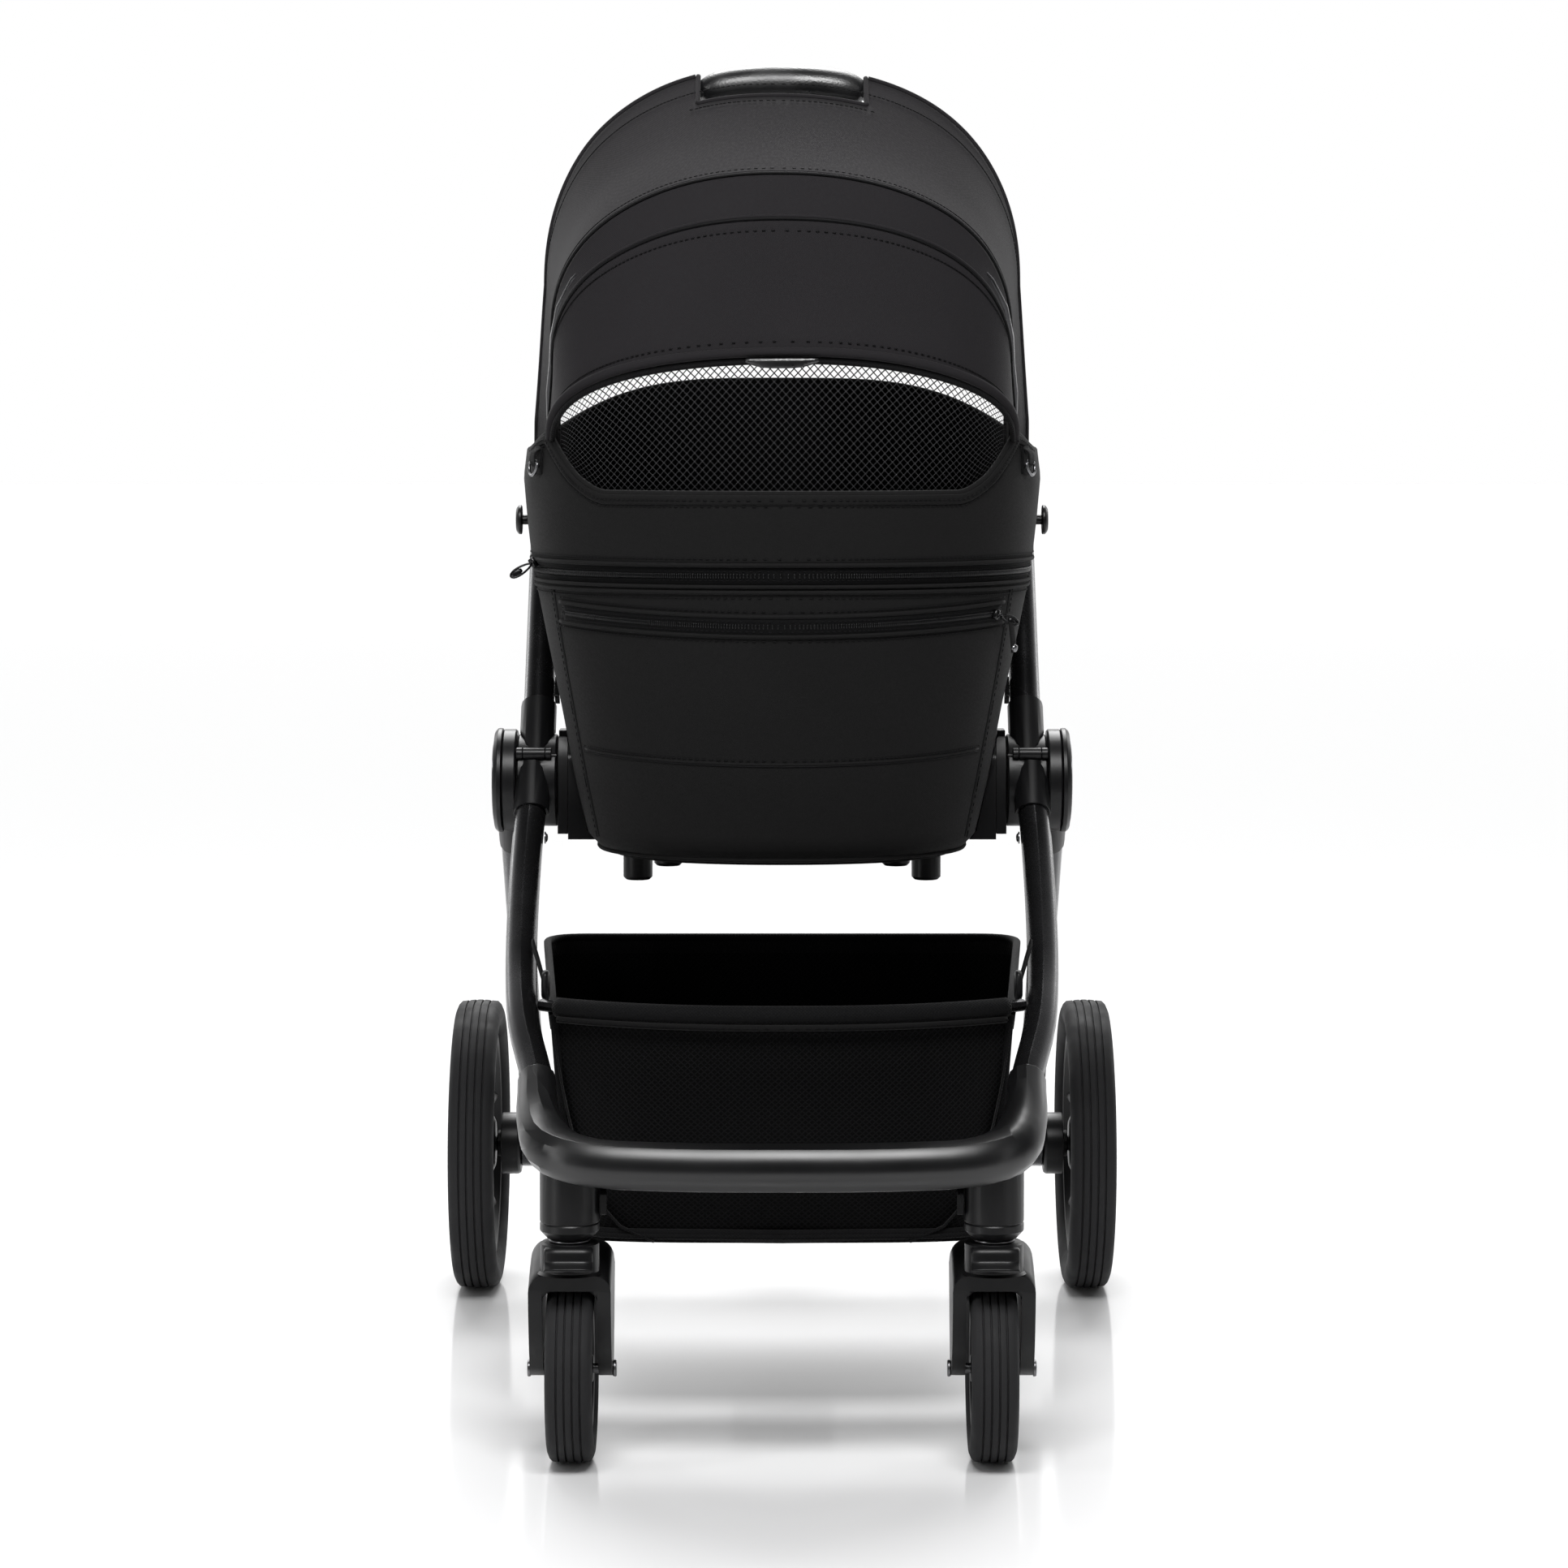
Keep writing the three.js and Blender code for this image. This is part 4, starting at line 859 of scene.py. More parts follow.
def front_turn(x, z):
    """The turn at which the tub's front wall is at x."""
    half = tub_point(0, z).x
    turn = math.acos(clamp(abs(x) / half) ** (TUB_POWER / 2))
    return -turn if x >= 0 else turn - math.pi


def on_tub(places, out=0.0):
    """Points and outward directions on the tub at (turn, z) places."""
    ups = [tub_normal(turn, z) for turn, z in places]
    points = [tub_point(turn, z) + up * out for (turn, z), up in zip(places, ups)]
    return points, ups


def around_tub(z, count):
    """Places right around the tub, evenly spaced in distance, at one height."""
    turns = np.linspace(0.0, 2 * math.pi, 721)
    line = np.array([tub_point(t, z) for t in turns])
    run = np.concatenate([[0], np.linalg.norm(np.diff(line, axis=0), axis=1).cumsum()])
    at = np.linspace(0, run[-1], count + 1)
    return [(float(t), z) for t in np.interp(at, run, turns)[:-1]]


def tub_skin(name, heights, inset, look, lining=False):
    """One storey of the tub's cloth. heights(turn) gives the heights of its rows."""
    turns = [t for t, _ in around_tub(MAIN_ZIP, 200)]
    columns = [[tub_point(t, z, inset) for z in heights(t)] for t in turns]
    rows = [list(row) for row in zip(*columns)]
    made = finished(name, grid_mesh(name, rows, closed=True), look, None)
    thicken(made, 0.0022, lining)
    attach(made, "carrier")
    return made


def thicken(made, thickness, turned_in=False, inner=None):
    """Gives cloth its thickness, on its inner side, with the inner side's own material."""
    solid = made.modifiers.new("thickness", "SOLIDIFY")
    solid.thickness = thickness
    solid.offset = 1 if turned_in else -1
    if inner:
        made.data.materials.append(inner.material)
        solid.material_offset = 1


def carrier_body():
    bottom = TUB_LOW.z
    zip_low, zip_high = MAIN_ZIP - ZIP_HALF, MAIN_ZIP + ZIP_HALF
    low_rows = [bottom + h for h in (0.0006, 0.002, 0.004, 0.008, 0.015, 0.024)]
    low_rows += list(np.linspace(bottom + 0.034, zip_low, 26))

    def lower_heights(_):
        return low_rows

    def band_heights(turn):
        return np.linspace(zip_high, rim_height(turn), 16)

    def lining_heights(turn):
        upper = np.linspace(bottom + 0.04, rim_height(turn) - 0.001, 26)
        return [bottom + 0.014, bottom + 0.02, *upper]

    lower = tub_skin("carrier_body_lower", lower_heights, 0.0, CLOTH)
    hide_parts("carrier_tub")
    tub_skin("carrier_body_band", band_heights, 0.0, CLOTH)
    tub_skin("carrier_lining", lining_heights, 0.0044, LINING, True)


def carrier_floor():
    """The cloth under the tub, drawn in to the base plate, and the board's cloth inside."""
    for name, z, look, slot in (
        ("carrier_underside", TUB_LOW.z + 0.0004, CLOTH_SOLID, "cloth"),
        ("carrier_floor_lining", low("carrier_pad").z - 0.0012, LINING, "lining"),
    ):
        height = max(z, TUB_LOW.z + 0.0008)
        ring = [tub_point(t, height, 0.001) for t, _ in around_tub(MAIN_ZIP, 120)]
        rows = [
            [Vector((p.x * share, PIVOT.y + (p.y - PIVOT.y) * share, z)) for p in ring]
            for share in (1, 0.98, 0.9, 0.7, 0.45, 0.2, 0.01)
        ]
        made = finished(name, grid_mesh(name, rows, closed=True), look, "carrier")
        thicken(made, 0.0015)
        flat, area = flat_size([row + row[:1] for row in rows])


def zip_coil(name, path, ups, half_long, half_thick, lift=0.0, closed=False):
    """The teeth of a zip, one each pitch across its path."""
    teeth = beads(path, ups, 0.0017, half_long, half_thick, True, lift, closed)
    finished(name, beads_mesh(name, [teeth]), PLASTIC_FINE, "carrier")


def piping(name, places, radius, out, closed=False):
    points, ups = on_tub(places, out)
    strip(name, points, ups, round_section(radius, 8), CLOTH, closed=closed)


def main_zip():
    """The zip right around the tub, between a flap's edge above and two pipings below."""
    places = around_tub(MAIN_ZIP, 300)
    points, ups = on_tub(places, -0.0026)
    strip("main_zip_tape", points, ups, band_section(ZIP_HALF * 2, 0.0012), TAPE, closed=True)
    raised, _ = on_tub(places, -0.0006)
    zip_coil("main_zip_coil", raised, ups, 0.0021, 0.00062, 0.0002, closed=True)
    seams = []
    for shift in (-0.0036, 0.0036):
        line, directions = on_tub([(turn, z + shift) for turn, z in places], -0.0012)
        seams.append(sewn(line, directions, 0.0034, closed=True))
    stitching("main_zip_seams", seams, "carrier")
    for name, shift, radius, out in (
        ("main_zip_flap", ZIP_HALF + 0.0002, 0.0017, 0.0002),
        ("main_zip_piping_upper", -ZIP_HALF + 0.0004, 0.0014, 0.0006),
        ("main_zip_piping_lower", -ZIP_HALF - 0.0042, 0.0016, 0.0004),
    ):
        piping(name, around_tub(MAIN_ZIP + shift, 300), radius, out, closed=True)
    runs = []
    for shift in (ZIP_HALF + 0.005, -ZIP_HALF - 0.0085):
        points, ups = on_tub(around_tub(MAIN_ZIP + shift, 300), 0.0003)
        runs.append(sewn(points, ups, closed=True))
    stitching("main_zip_topstitch", runs, "carrier")


def across_front(half, height, count=90, shift=0.0):
    """Places across the tub's front from -half to half, shift above the height at each x."""
    places = []
    for x in np.linspace(-half, half, count):
        z = height(float(x)) + shift
        places.append((front_turn(float(x), z), z))
    return places


def pocket_height(x):
    return POCKET_ZIP + 0.0075 * (x / POCKET_HALF) ** 2


def pocket():
    """The front pocket's zip, with a raised edge above and below it."""
    places = across_front(POCKET_HALF, pocket_height, 120)
    points, ups = on_tub(places, 0.0009)
    strip("pocket_zip_bed", points, ups, band_section(0.0128, 0.0004), TAPE)
    coil, _ = on_tub(places, 0.0016)
    zip_coil("pocket_zip_coil", coil, ups, 0.0020, 0.00058)
    edge_half = POCKET_HALF + 0.003
    runs = []
    for name, shift in (("pocket_edge_upper", 0.0078), ("pocket_edge_lower", -0.0078)):
        piping(name, across_front(edge_half, pocket_height, 120, shift), 0.0017, 0.0006)
        seam = across_front(edge_half, pocket_height, 120, shift * 1.5)
        runs.append(sewn(*on_tub(seam, 0.0003)))
    for shift in (-0.0040, 0.0040):
        seam = across_front(POCKET_HALF, pocket_height, shift=shift)
        runs.append(sewn(*on_tub(seam, 0.0014), 0.0034))
    stitching("pocket_stitches", runs, "carrier")


def seam_line(name, places, sign=1):
    """A felled seam: a dark cord of painted shade in its crease, a rounded lip beside it and one row of
    stitches.
    """
    points, ups = on_tub(places, 0.0)
    # The crease is a dark cord: painted shade.
    strip(name + "_crease", points, ups, round_section(0.0007, 6), THREAD_AND_CREASE_SHADE)
    line, _, side, up = framed(points, array_of(ups))
    lip = line + side * sign * 0.0016
    strip(name + "_lip", lip, up, round_section(0.0012, 8, 0.7), CLOTH)
    row = line + side * sign * 0.0046 + up * 0.0003
    stitching(name + "_stitches", [sewn(row, up)], "carrier")


def low_seam_height(x):
    return TUB_LOW.z + 0.080 + 0.006 * (x / 0.157) ** 2


def panel_seams():
    """The lower panel's side seams, the low seam between them, and the bottom edge."""
    top, bottom = MAIN_ZIP - ZIP_HALF - 0.006, TUB_LOW.z + 0.016
    for side, sign in SIDES.items():
        places = []
        for t in np.linspace(0, 1, 60):
            z = lerp(top, bottom, t)
            x = sign * lerp(0.182, 0.147, t ** 1.15)
            places.append((front_turn(x, z), z))
        seam_line(f"side_seam_{side}", places, -sign)
    seam_line("low_seam", across_front(0.1575, low_seam_height), -1)
    seam_line("rear_seam", [(math.pi / 2, z) for z in np.linspace(bottom, top, 50)])
    piping("bottom_piping", around_tub(TUB_LOW.z + 0.0045, 200), 0.0018, 0.0006, closed=True)


def rim_binding():
    """The bound edge of the tub, and the flat band and stitches under the window."""
    turns = [t for t, _ in around_tub(RIM_SIDE, 300)]
    places = [(t, rim_height(t)) for t in turns]
    points, ups = on_tub(places, -0.0024)
    strip("rim_binding", points, ups, round_section(0.0031, 10, 0.8), CLOTH, closed=True)
    front = [(t, z) for t, z in places if math.sin(t) < -0.25]
    points, ups = on_tub([(t, z - 0.0042) for t, z in front], 0.0)
    strip("window_band", points, ups, band_section(0.0078, 0.0013), CLOTH)
    runs = []
    for drop, out in ((0.0042, 0.0018), (0.0092, 0.0004)):
        runs.append(sewn(*on_tub([(t, z - drop) for t, z in front], out)))
    stitching("window_band_stitches", runs, "carrier")


def pull_ring(name, centre, hang, facing, length):
    """A zip's slider with its long pull. The pull hangs along hang, flat to facing."""
    hang, facing = Vector(hang).normalized(), Vector(facing).normalized()
    side = hang.cross(facing).normalized()

    def part(kind, path, up, section, **more):
        return swept(f"{name}_{kind}", path, up, section, PLASTIC_FINE, "carrier", "plastic", **more)

    loop = []
    for i in range(28):
        turn = 2 * math.pi * i / 28
        along = (1 - math.cos(turn)) / 2 * length
        wide = 0.0030 * math.sin(turn) * (0.75 + 0.45 * along / length)
        loop.append(centre + hang * (along + 0.002) + side * wide + facing * 0.0030)
    across = [centre + side * x for x in (-0.0042, -0.0035, 0.0035, 0.0042)]
    bridge = curve_through([
        centre + side * -0.003 + facing * 0.0015, centre + facing * 0.0036,
        centre + side * 0.003 + facing * 0.0015,
    ], 6)
    tip = [centre + hang * (length * s) + facing * 0.0030 for s in (0.55, 0.7, 0.95, 1.05)]
    return joined(name, [
        part("loop", loop, facing, round_section(0.0009, 8), closed=True),
        part("slider", across, facing, round_section(0.0030, 14, 0.75), sizes=[0.6, 1, 1, 0.6]),
        part("bridge", bridge, hang, round_section(0.0008, 8)),
        part("grip", tip, facing, round_section(0.0026, 12, 0.4), sizes=[0.5, 1, 1, 0.6]),
    ])


def zip_pulls():
    z = MAIN_ZIP + 0.006
    turn = front_turn(-0.198, z)
    centre = tub_point(turn, z) + tub_normal(turn, z) * 0.0030
    pull_ring("main_zip_pull", centre, (-0.80, -0.15, -0.50), (0, -1, 0), 0.019)
    z = pocket_height(0.168)
    turn = front_turn(0.168, z)
    out = tub_normal(turn, z)
    centre = tub_point(turn, z) + out * 0.0036
    pull_ring("pocket_zip_pull", centre, (0.75, 0.2, -0.35), out, 0.015)
    start, fall = centre + Vector((0.010, 0.001, -0.006)) + out * 0.002, Vector((0.10, 0.02, -1))
    tab = [start + fall * s for s in np.linspace(0, 0.024, 8)]
    strip("pocket_pull_tab", tab, out, band_section(0.0075, 0.0010), CLOTH)
    snap = [
        (0, 0.0022), (0.0022, 0.0021), (0.0030, 0.0014), (0.0033, 0.0004), (0.0033, -0.0004),
        (0, -0.0004),
    ]
    place = tab[-2] + out * 0.0008
    turned("pocket_pull_snap", snap, place, out, DARK_STEEL, "carrier", 24)


def side_rings():
    """A webbing loop and a D-ring on each side of the tub, by the hood's front corner."""
    for side, sign in SIDES.items():
        z = RIM_SIDE - 0.006
        turn = -0.42 if sign > 0 else math.pi + 0.42
        out = tub_normal(turn, z)
        along = tub_point(turn + 0.01, z) - tub_point(turn - 0.01, z)
        along.normalize()
        base = tub_point(turn, z)
        patch = [base + out * 0.0012 + UP * s for s in np.linspace(-0.012, 0.010, 6)]
        strip(f"ring_patch_{side}", patch, out, band_section(0.014, 0.0014), WEBBING)
        hold = curve_through([
            base + out * away + UP * rise
            for away, rise in ((0.001, 0.008), (0.006, 0.004), (0.006, -0.004), (0.001, -0.007))
        ], 6)
        flat = [(y, x) for x, y in band_section(0.012, 0.0011)]
        strip(f"ring_loop_{side}", hold, along, flat, WEBBING)
        ring = [
            base + out * (0.0065 + 0.0012 * math.cos(t)) + along * 0.0085 * math.sin(t)
            + UP * (-0.005 - 0.0085 * math.cos(t) * (1 if math.cos(t) > 0 else 0.35))
            for t in np.linspace(0, 2 * math.pi, 33)[:-1]
        ]
        swept(
            f"side_ring_{side}", ring, out, round_section(0.0013, 8), DARK_STEEL, "carrier",
            "plastic", closed=True,
        )


# ---- cushion ----------------------------------------------------------------------------

# The cushion's share of its greatest width, then of its height, from its foot to its top.
CUSHION_STATIONS = (
    (0.02, 0.02), (0.5, 0.02), (0.9, 0.03), (0.98, 0.2), (1, 0.42), (0.98, 0.62), (0.9, 0.78),
    (0.5, 0.86), (0.02, 0.88),
)
CHANNELS, CHANNEL_WIDTH, CHANNEL_DEPTH = (-0.33, 0.33), 0.009, 0.0045


def puffed(made, reach):
    """Swells a cushion with the cloth solver, moving no point further than reach."""
    scene = bpy.context.scene
    start = np.array([v.co for v in made.data.vertices])
    cloth = made.modifiers.new("cloth", "CLOTH")
    cloth.settings.use_pressure = True
    cloth.settings.uniform_pressure_force = 4
    cloth.settings.effector_weights.gravity = 0
    cloth.settings.quality = 6
    for step in range(1, 21):
        scene.frame_set(step)
    solved = made.evaluated_get(bpy.context.evaluated_depsgraph_get())
    end = np.array([v.co for v in solved.data.vertices])
    made.modifiers.remove(cloth)
    scene.frame_set(1)
    moved = end - start
    far = np.linalg.norm(moved, axis=1, keepdims=True)
    moved *= np.minimum(1, reach / np.maximum(far, 1e-9))
    made.data.vertices.foreach_set("co", (start + moved).ravel())


def cushion():
    """The washable pad on the tub's floor: crowned, with a piped edge and two sewn channels."""
    lo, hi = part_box("carrier_pad")
    half, length = (hi.x - lo.x) / 2 - 0.006, (hi.y - lo.y) / 2 - 0.006
    centre = (lo + hi) / 2
    tall = hi.z - lo.z

    def ring(share, z):
        points = []
        for i in range(96):
            across, along = oval(2 * math.pi * i / 96)
            x, y = centre.x + half * share * across, centre.y + length * share * along
            points.append(Vector((x, y, z)))
        return points

    rows = [ring(share, lo.z + tall * rise) for share, rise in CUSHION_STATIONS]
    mesh = grid_mesh("cushion", rows, closed=True)
    with editing(mesh) as work:
        bmesh.ops.holes_fill(work, edges=work.edges)
        bmesh.ops.recalc_face_normals(work, faces=work.faces)
    made = finished("cushion", mesh, LINING, None)
    voxels = made.modifiers.new("voxels", "REMESH")
    voxels.mode = "VOXEL"
    voxels.voxel_size = 0.0055
    solved = made.evaluated_get(bpy.context.evaluated_depsgraph_get())
    made.data = bpy.data.meshes.new_from_object(solved)
    made.modifiers.clear()
    puffed(made, 0.007)
    for vertex in made.data.vertices:
        rise = clamp((vertex.co.z - lo.z) / tall)
        for channel in CHANNELS:
            near = (vertex.co.y - centre.y - channel * length) / CHANNEL_WIDTH
            vertex.co.z -= CHANNEL_DEPTH * rise * math.exp(-near * near)
        vertex.co.z = clamp(vertex.co.z, lo.z, hi.z + 0.003)
    made.data.polygons.foreach_set("use_smooth", [True] * len(made.data.polygons))
    finer = made.modifiers.new("finer", "SUBSURF")
    finer.levels = finer.render_levels = 1
    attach(made, "carrier")
    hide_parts("carrier_pad")
    edge = ring(1.0, lo.z + tall * 0.5)
    ups = [(p - centre).normalized() for p in edge]
    strip("cushion_piping", edge, ups, round_section(0.0024, 8), CLOTH, closed=True)


# ---- hood -------------------------------------------------------------------------------

HOOD_TOP = high("carry_handle").z + 0.0075
HOOD_HALF = 0.192
SHOULDER = PIVOT.z + 0.191
HEM = PIVOT.z + 0.043
FLARE, FLARE_END = 0.075, PIVOT.z + 0.081
ARCH_REACH = HOOD_TOP - PIVOT.z
# Degrees ahead of upright, the share of the arch's reach, and the share of its width.
HOOD_STATIONS = ((0, 1.0, 1.0), (27.6, 0.845, 0.95), (34.1, 0.788, 0.945), (52.8, 0.614, 0.955))
ARCH, SEAM_REAR, SEAM_FRONT, EDGE = (s[0] for s in HOOD_STATIONS)
NOTCH_HALF, NOTCH_ANGLE, NOTCH_COLUMNS = 0.068, 5.6, 26


def hood_station(angle):
    """The reach and width of the hood's arch at an angle, on taut cloth between its hoops."""
    index = next(i for i, s in enumerate(HOOD_STATIONS) if i and angle <= s[0] + 1e-6)
    (start, near, narrow), (end, far, wide) = HOOD_STATIONS[index - 1:index + 1]
    before, after = math.radians(angle - start), math.radians(end - angle)
    near, far = near * ARCH_REACH, far * ARCH_REACH
    reach = near * far * math.sin(before + after) / (near * math.sin(before) + far * math.sin(after))
    share = (angle - start) / (end - start)
    slack = 0.0045 * math.sin(math.pi * share) * (end - start) / 27
    return reach - slack, lerp(narrow, wide, share)


def hood_point(angle, height, side, inset=0.0):
    """A point on the hood, at a height in its upright arch, on one side, set in from its cloth."""
    reach, width = hood_station(angle)
    rise = max(0.0, height - SHOULDER) / (HOOD_TOP - SHOULDER)
    crown = (1 - min(1, rise) ** TUB_POWER) ** (1 / TUB_POWER)
    flared = FLARE * max(0.0, SHOULDER - max(height, FLARE_END))
    x = (HOOD_HALF * width - inset) * crown + flared * width
    here = (height - PIVOT.z) * reach / ARCH_REACH - inset * min(1, rise)
    uneven = 0.0016 * noise.noise(Vector((side * x * 7, angle * 0.06, height * 8)))
    turn = math.radians(angle)
    here += uneven
    ahead, up = here * math.sin(turn), here * math.cos(turn)
    return Vector((side * (x + uneven), PIVOT.y - ahead, PIVOT.z + up))


def hood_half(angle, side, inset=0.0, hem_rise=0.0):
    """One side of the arch, from the hem to the top."""
    reach, _ = hood_station(angle)
    hem = (HEM + hem_rise - PIVOT.z) / math.cos(math.radians(angle))
    start = PIVOT.z + hem * ARCH_REACH / reach
    straight = list(np.linspace(start, SHOULDER, 24)[:-1])
    rounded = [SHOULDER + (HOOD_TOP - SHOULDER) * math.sin(t) for t in np.linspace(0, math.pi / 2, 60)]
    return [hood_point(angle, h, side, inset) for h in straight + rounded]


def hood_arch(angle, count=96, inset=0.0, hem_rise=0.0):
    """The whole arch from the left hem to the right one, evenly spaced, count points each side."""
    left = spaced(hood_half(angle, -1, inset, hem_rise), count + 1)
    right = spaced(hood_half(angle, 1, inset, hem_rise), count + 1)
    return [Vector(p) for p in [*left[:-1], *right[::-1]]]


def notched_arch(angle):
    """The arch with a column of points on each edge of the notch for the carrying grip."""
    halves = []
    for side in (-1, 1):
        points = hood_half(angle, side)
        outer = [p for p in points if abs(p.x) > NOTCH_HALF]
        inner = [p for p in points if abs(p.x) <= NOTCH_HALF]
        share = (abs(outer[-1].x) - NOTCH_HALF) / max(abs(outer[-1].x) - abs(inner[0].x), 1e-9)
        edge = outer[-1].lerp(inner[0], share)
        halves.append([
            *spaced([*outer, edge], 71)[:-1], *spaced([edge, *inner], NOTCH_COLUMNS + 1),
        ])
    left, right = halves
    return [Vector(p) for p in [*left[:-1], *right[::-1]]]


def hood_up(point):
    """Straight out of the hood: away from the pivot line, and outwards at the sides."""
    radial = Vector((0, point.y - PIVOT.y, point.z - PIVOT.z)).normalized()
    rise = clamp((math.hypot(point.y - PIVOT.y, point.z - PIVOT.z)) / ARCH_REACH)
    side = Vector((math.copysign(1, point.x), 0, 0))
    over = clamp((abs(point.x) / HOOD_HALF)) ** 2.2
    return (radial * (1 - over) * max(rise, 0.2) + side * over).normalized()


def hood_ups(line):
    return array_of([hood_up(Vector(p)) for p in line])


def follow_hood(made):
    """Writes a piece's placement into its mesh's points."""
    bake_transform(made)


def hood_sheet(name, angles, node, rear):
    """One panel of the hood. The rear one has the notch for the carrying grip cut out."""
    rows = [notched_arch(a) if rear else hood_arch(a) for a in angles]
    mesh = grid_mesh(name, rows)
    if rear:
        columns = len(rows[0]) - 1
        cut_rows = sum(a <= NOTCH_ANGLE + 1e-6 for a in angles) - 1
        with editing(mesh) as work:
            notch = [
                face for face in work.faces
                if face.index // columns < cut_rows
                and abs(face.index % columns + 0.5 - columns / 2) < NOTCH_COLUMNS
            ]
            bmesh.ops.delete(work, geom=notch, context="FACES")
    mesh.flip_normals()
    # The hood is drawn in the cloth that is painted lighter for the light from above.
    made = finished(name, mesh, HOOD_CLOTH_PAINTED_LIGHTER, None)
    thicken(made, 0.0018, inner=LINING)
    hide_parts(node)
    follow_hood(made)


def hood_stitches(name, line):
    """One row of stitches along a line on a panel of the hood."""
    ups = hood_ups(line)
    made = stitching(name, [sewn(line + ups * 0.0010, ups)], None)
    follow_hood(made)


def hood():
    rear_angles = [0, 1.2, 2.6, 4.2, NOTCH_ANGLE, *np.linspace(8, 26, 9), 27, SEAM_REAR]
    hood_sheet("hood_rear_panel", rear_angles, "hood_top", True)
    front_angles = [SEAM_REAR, 28.4, 30, 31.5, 33.2, SEAM_FRONT, *np.linspace(35, 51.6, 8), EDGE]
    hood_sheet("hood_front_panel", front_angles, "hood_front", False)
    for angle, rear in ((3.4, True), (26.4, True), (35.5, False), (51.0, False)):
        line = spaced(hood_arch(angle, 140, hem_rise=0.004), 240)
        hood_stitches(f"hood_stitches_{angle:.0f}", line)
    hood_seams()
    hood_edge()
    hood_tab()
    hood_hem()
    hood_notch()


def hood_cord(name, angle, radius, lift, look):
    """A round cord along an arch of the hood over the bow, from just above its hem."""
    line = hood_arch(angle, 90, hem_rise=0.022)
    ups = hood_ups(line)
    strip(name, array_of(line) + ups * lift, ups, round_section(radius), look, "hood_bow")


def hood_seams():
    """The two seams over the bow, each a raised lip above a dark cord of painted shade for its crease.
    """
    for name, angle in (("rear", SEAM_REAR), ("front", SEAM_FRONT)):
        hood_cord(f"hood_seam_{name}", angle - 0.28, 0.0017, 0.0001, HOOD_CLOTH_PAINTED_LIGHTER)
        # The crease is a dark cord: painted shade.
        hood_cord(f"hood_crease_{name}", angle + 0.12, 0.0012, 0.0008, THREAD_AND_CREASE_SHADE)


def hood_edge():
    """The rolled edge over the window: the cloth's roll, a dark cord of painted shade for the crease,
    and a binding.
    """
    edge = hood_arch(EDGE, 90)
    ups = hood_ups(edge)
    for name, out, drop, radius, look in (
        ("hood_edge_roll", 0.0018, 0.0012, 0.0038, HOOD_CLOTH_PAINTED_LIGHTER),
        # The crease is a dark cord: painted shade.
        ("hood_edge_crease", 0.0, 0.0052, 0.0016, THREAD_AND_CREASE_SHADE),
        ("hood_edge_binding", 0.0, 0.0074, 0.0023, WEBBING),
    ):
        line = [p + Vector(up) * out + Vector((0, drop * 0.15, -drop)) for p, up in zip(edge, ups)]
        strip(name, line, ups, round_section(radius), look)


def hood_tab():
    """The leather pull tab at the middle of the rolled edge."""
    width = [p for p in hood_arch(EDGE, 90) if abs(p.x) < 0.031]
    rows = []
    for drop in np.linspace(-0.2, 1, 7):
        row = []
        for share, p in zip(np.linspace(-1, 1, len(width)), width):
            depth = 0.0062 * (1 - abs(share) ** 3.2)
            lift = -0.0048 - 0.0012 * math.cos(drop * 1.5)
            row.append(p + Vector((0, lift, -0.0062 - depth * max(drop, 0))))
        rows.append(row)
    thicken(finished("hood_tab", grid_mesh("hood_tab", rows), LEATHER, "carrier"), 0.0016)


def hood_hem():
    """The bound hem along the rear arch, on each side of the notch."""
    arch = [p for p in hood_arch(ARCH, 120) if abs(p.x) > NOTCH_HALF - 0.001]
    for side, sign in SIDES.items():
        line = [p for p in arch if p.x * sign > 0]
        section = round_section(0.0026, 8, 0.8)
        strip(f"hood_rear_hem_{side}", line, hood_ups(line), section, HOOD_CLOTH_PAINTED_LIGHTER, "carry_hoop")


def notch_corner(angle, sign):
    """The point of an arch that is closest to the notch's edge on one side."""
    points = [p for p in notched_arch(float(angle)) if p.x * sign > 0]
    off_edge = [abs(abs(p.x) - NOTCH_HALF) for p in points]
    return points[off_edge.index(min(off_edge))]


def hood_notch():
    """The bound edge of the cut-out around the carrying grip, and the stitches beside it."""
    front = [p for p in hood_arch(NOTCH_ANGLE, 200) if abs(p.x) <= NOTCH_HALF]
    left, right = (
        [notch_corner(angle, sign) for angle in np.linspace(0, NOTCH_ANGLE, 8)] for sign in (-1, 1)
    )
    line = spaced([*left, *front[2:-2], *right[::-1]], 90)
    binding = swept_mesh("hood_notch_binding", line, hood_ups(line), round_section(0.0021, 8))
    follow_hood(finished("hood_notch_binding", binding, HOOD_CLOTH_PAINTED_LIGHTER, None))
    row = hood_arch(NOTCH_ANGLE + 1.3, 200)
    seam = [p for p in row if abs(p.x) <= NOTCH_HALF + 0.006]
    hood_stitches("hood_notch_stitches", spaced(seam, 60))


HOOP_INSET = 0.014


def hoop_point(x):
    """The middle of the carrying hoop at a distance from the centre plane."""
    rise = (1 - abs(x / (HOOD_HALF - HOOP_INSET)) ** TUB_POWER) ** (1 / TUB_POWER)
    return Vector((x, PIVOT.y, SHOULDER + (HOOD_TOP - SHOULDER - HOOP_INSET) * rise))


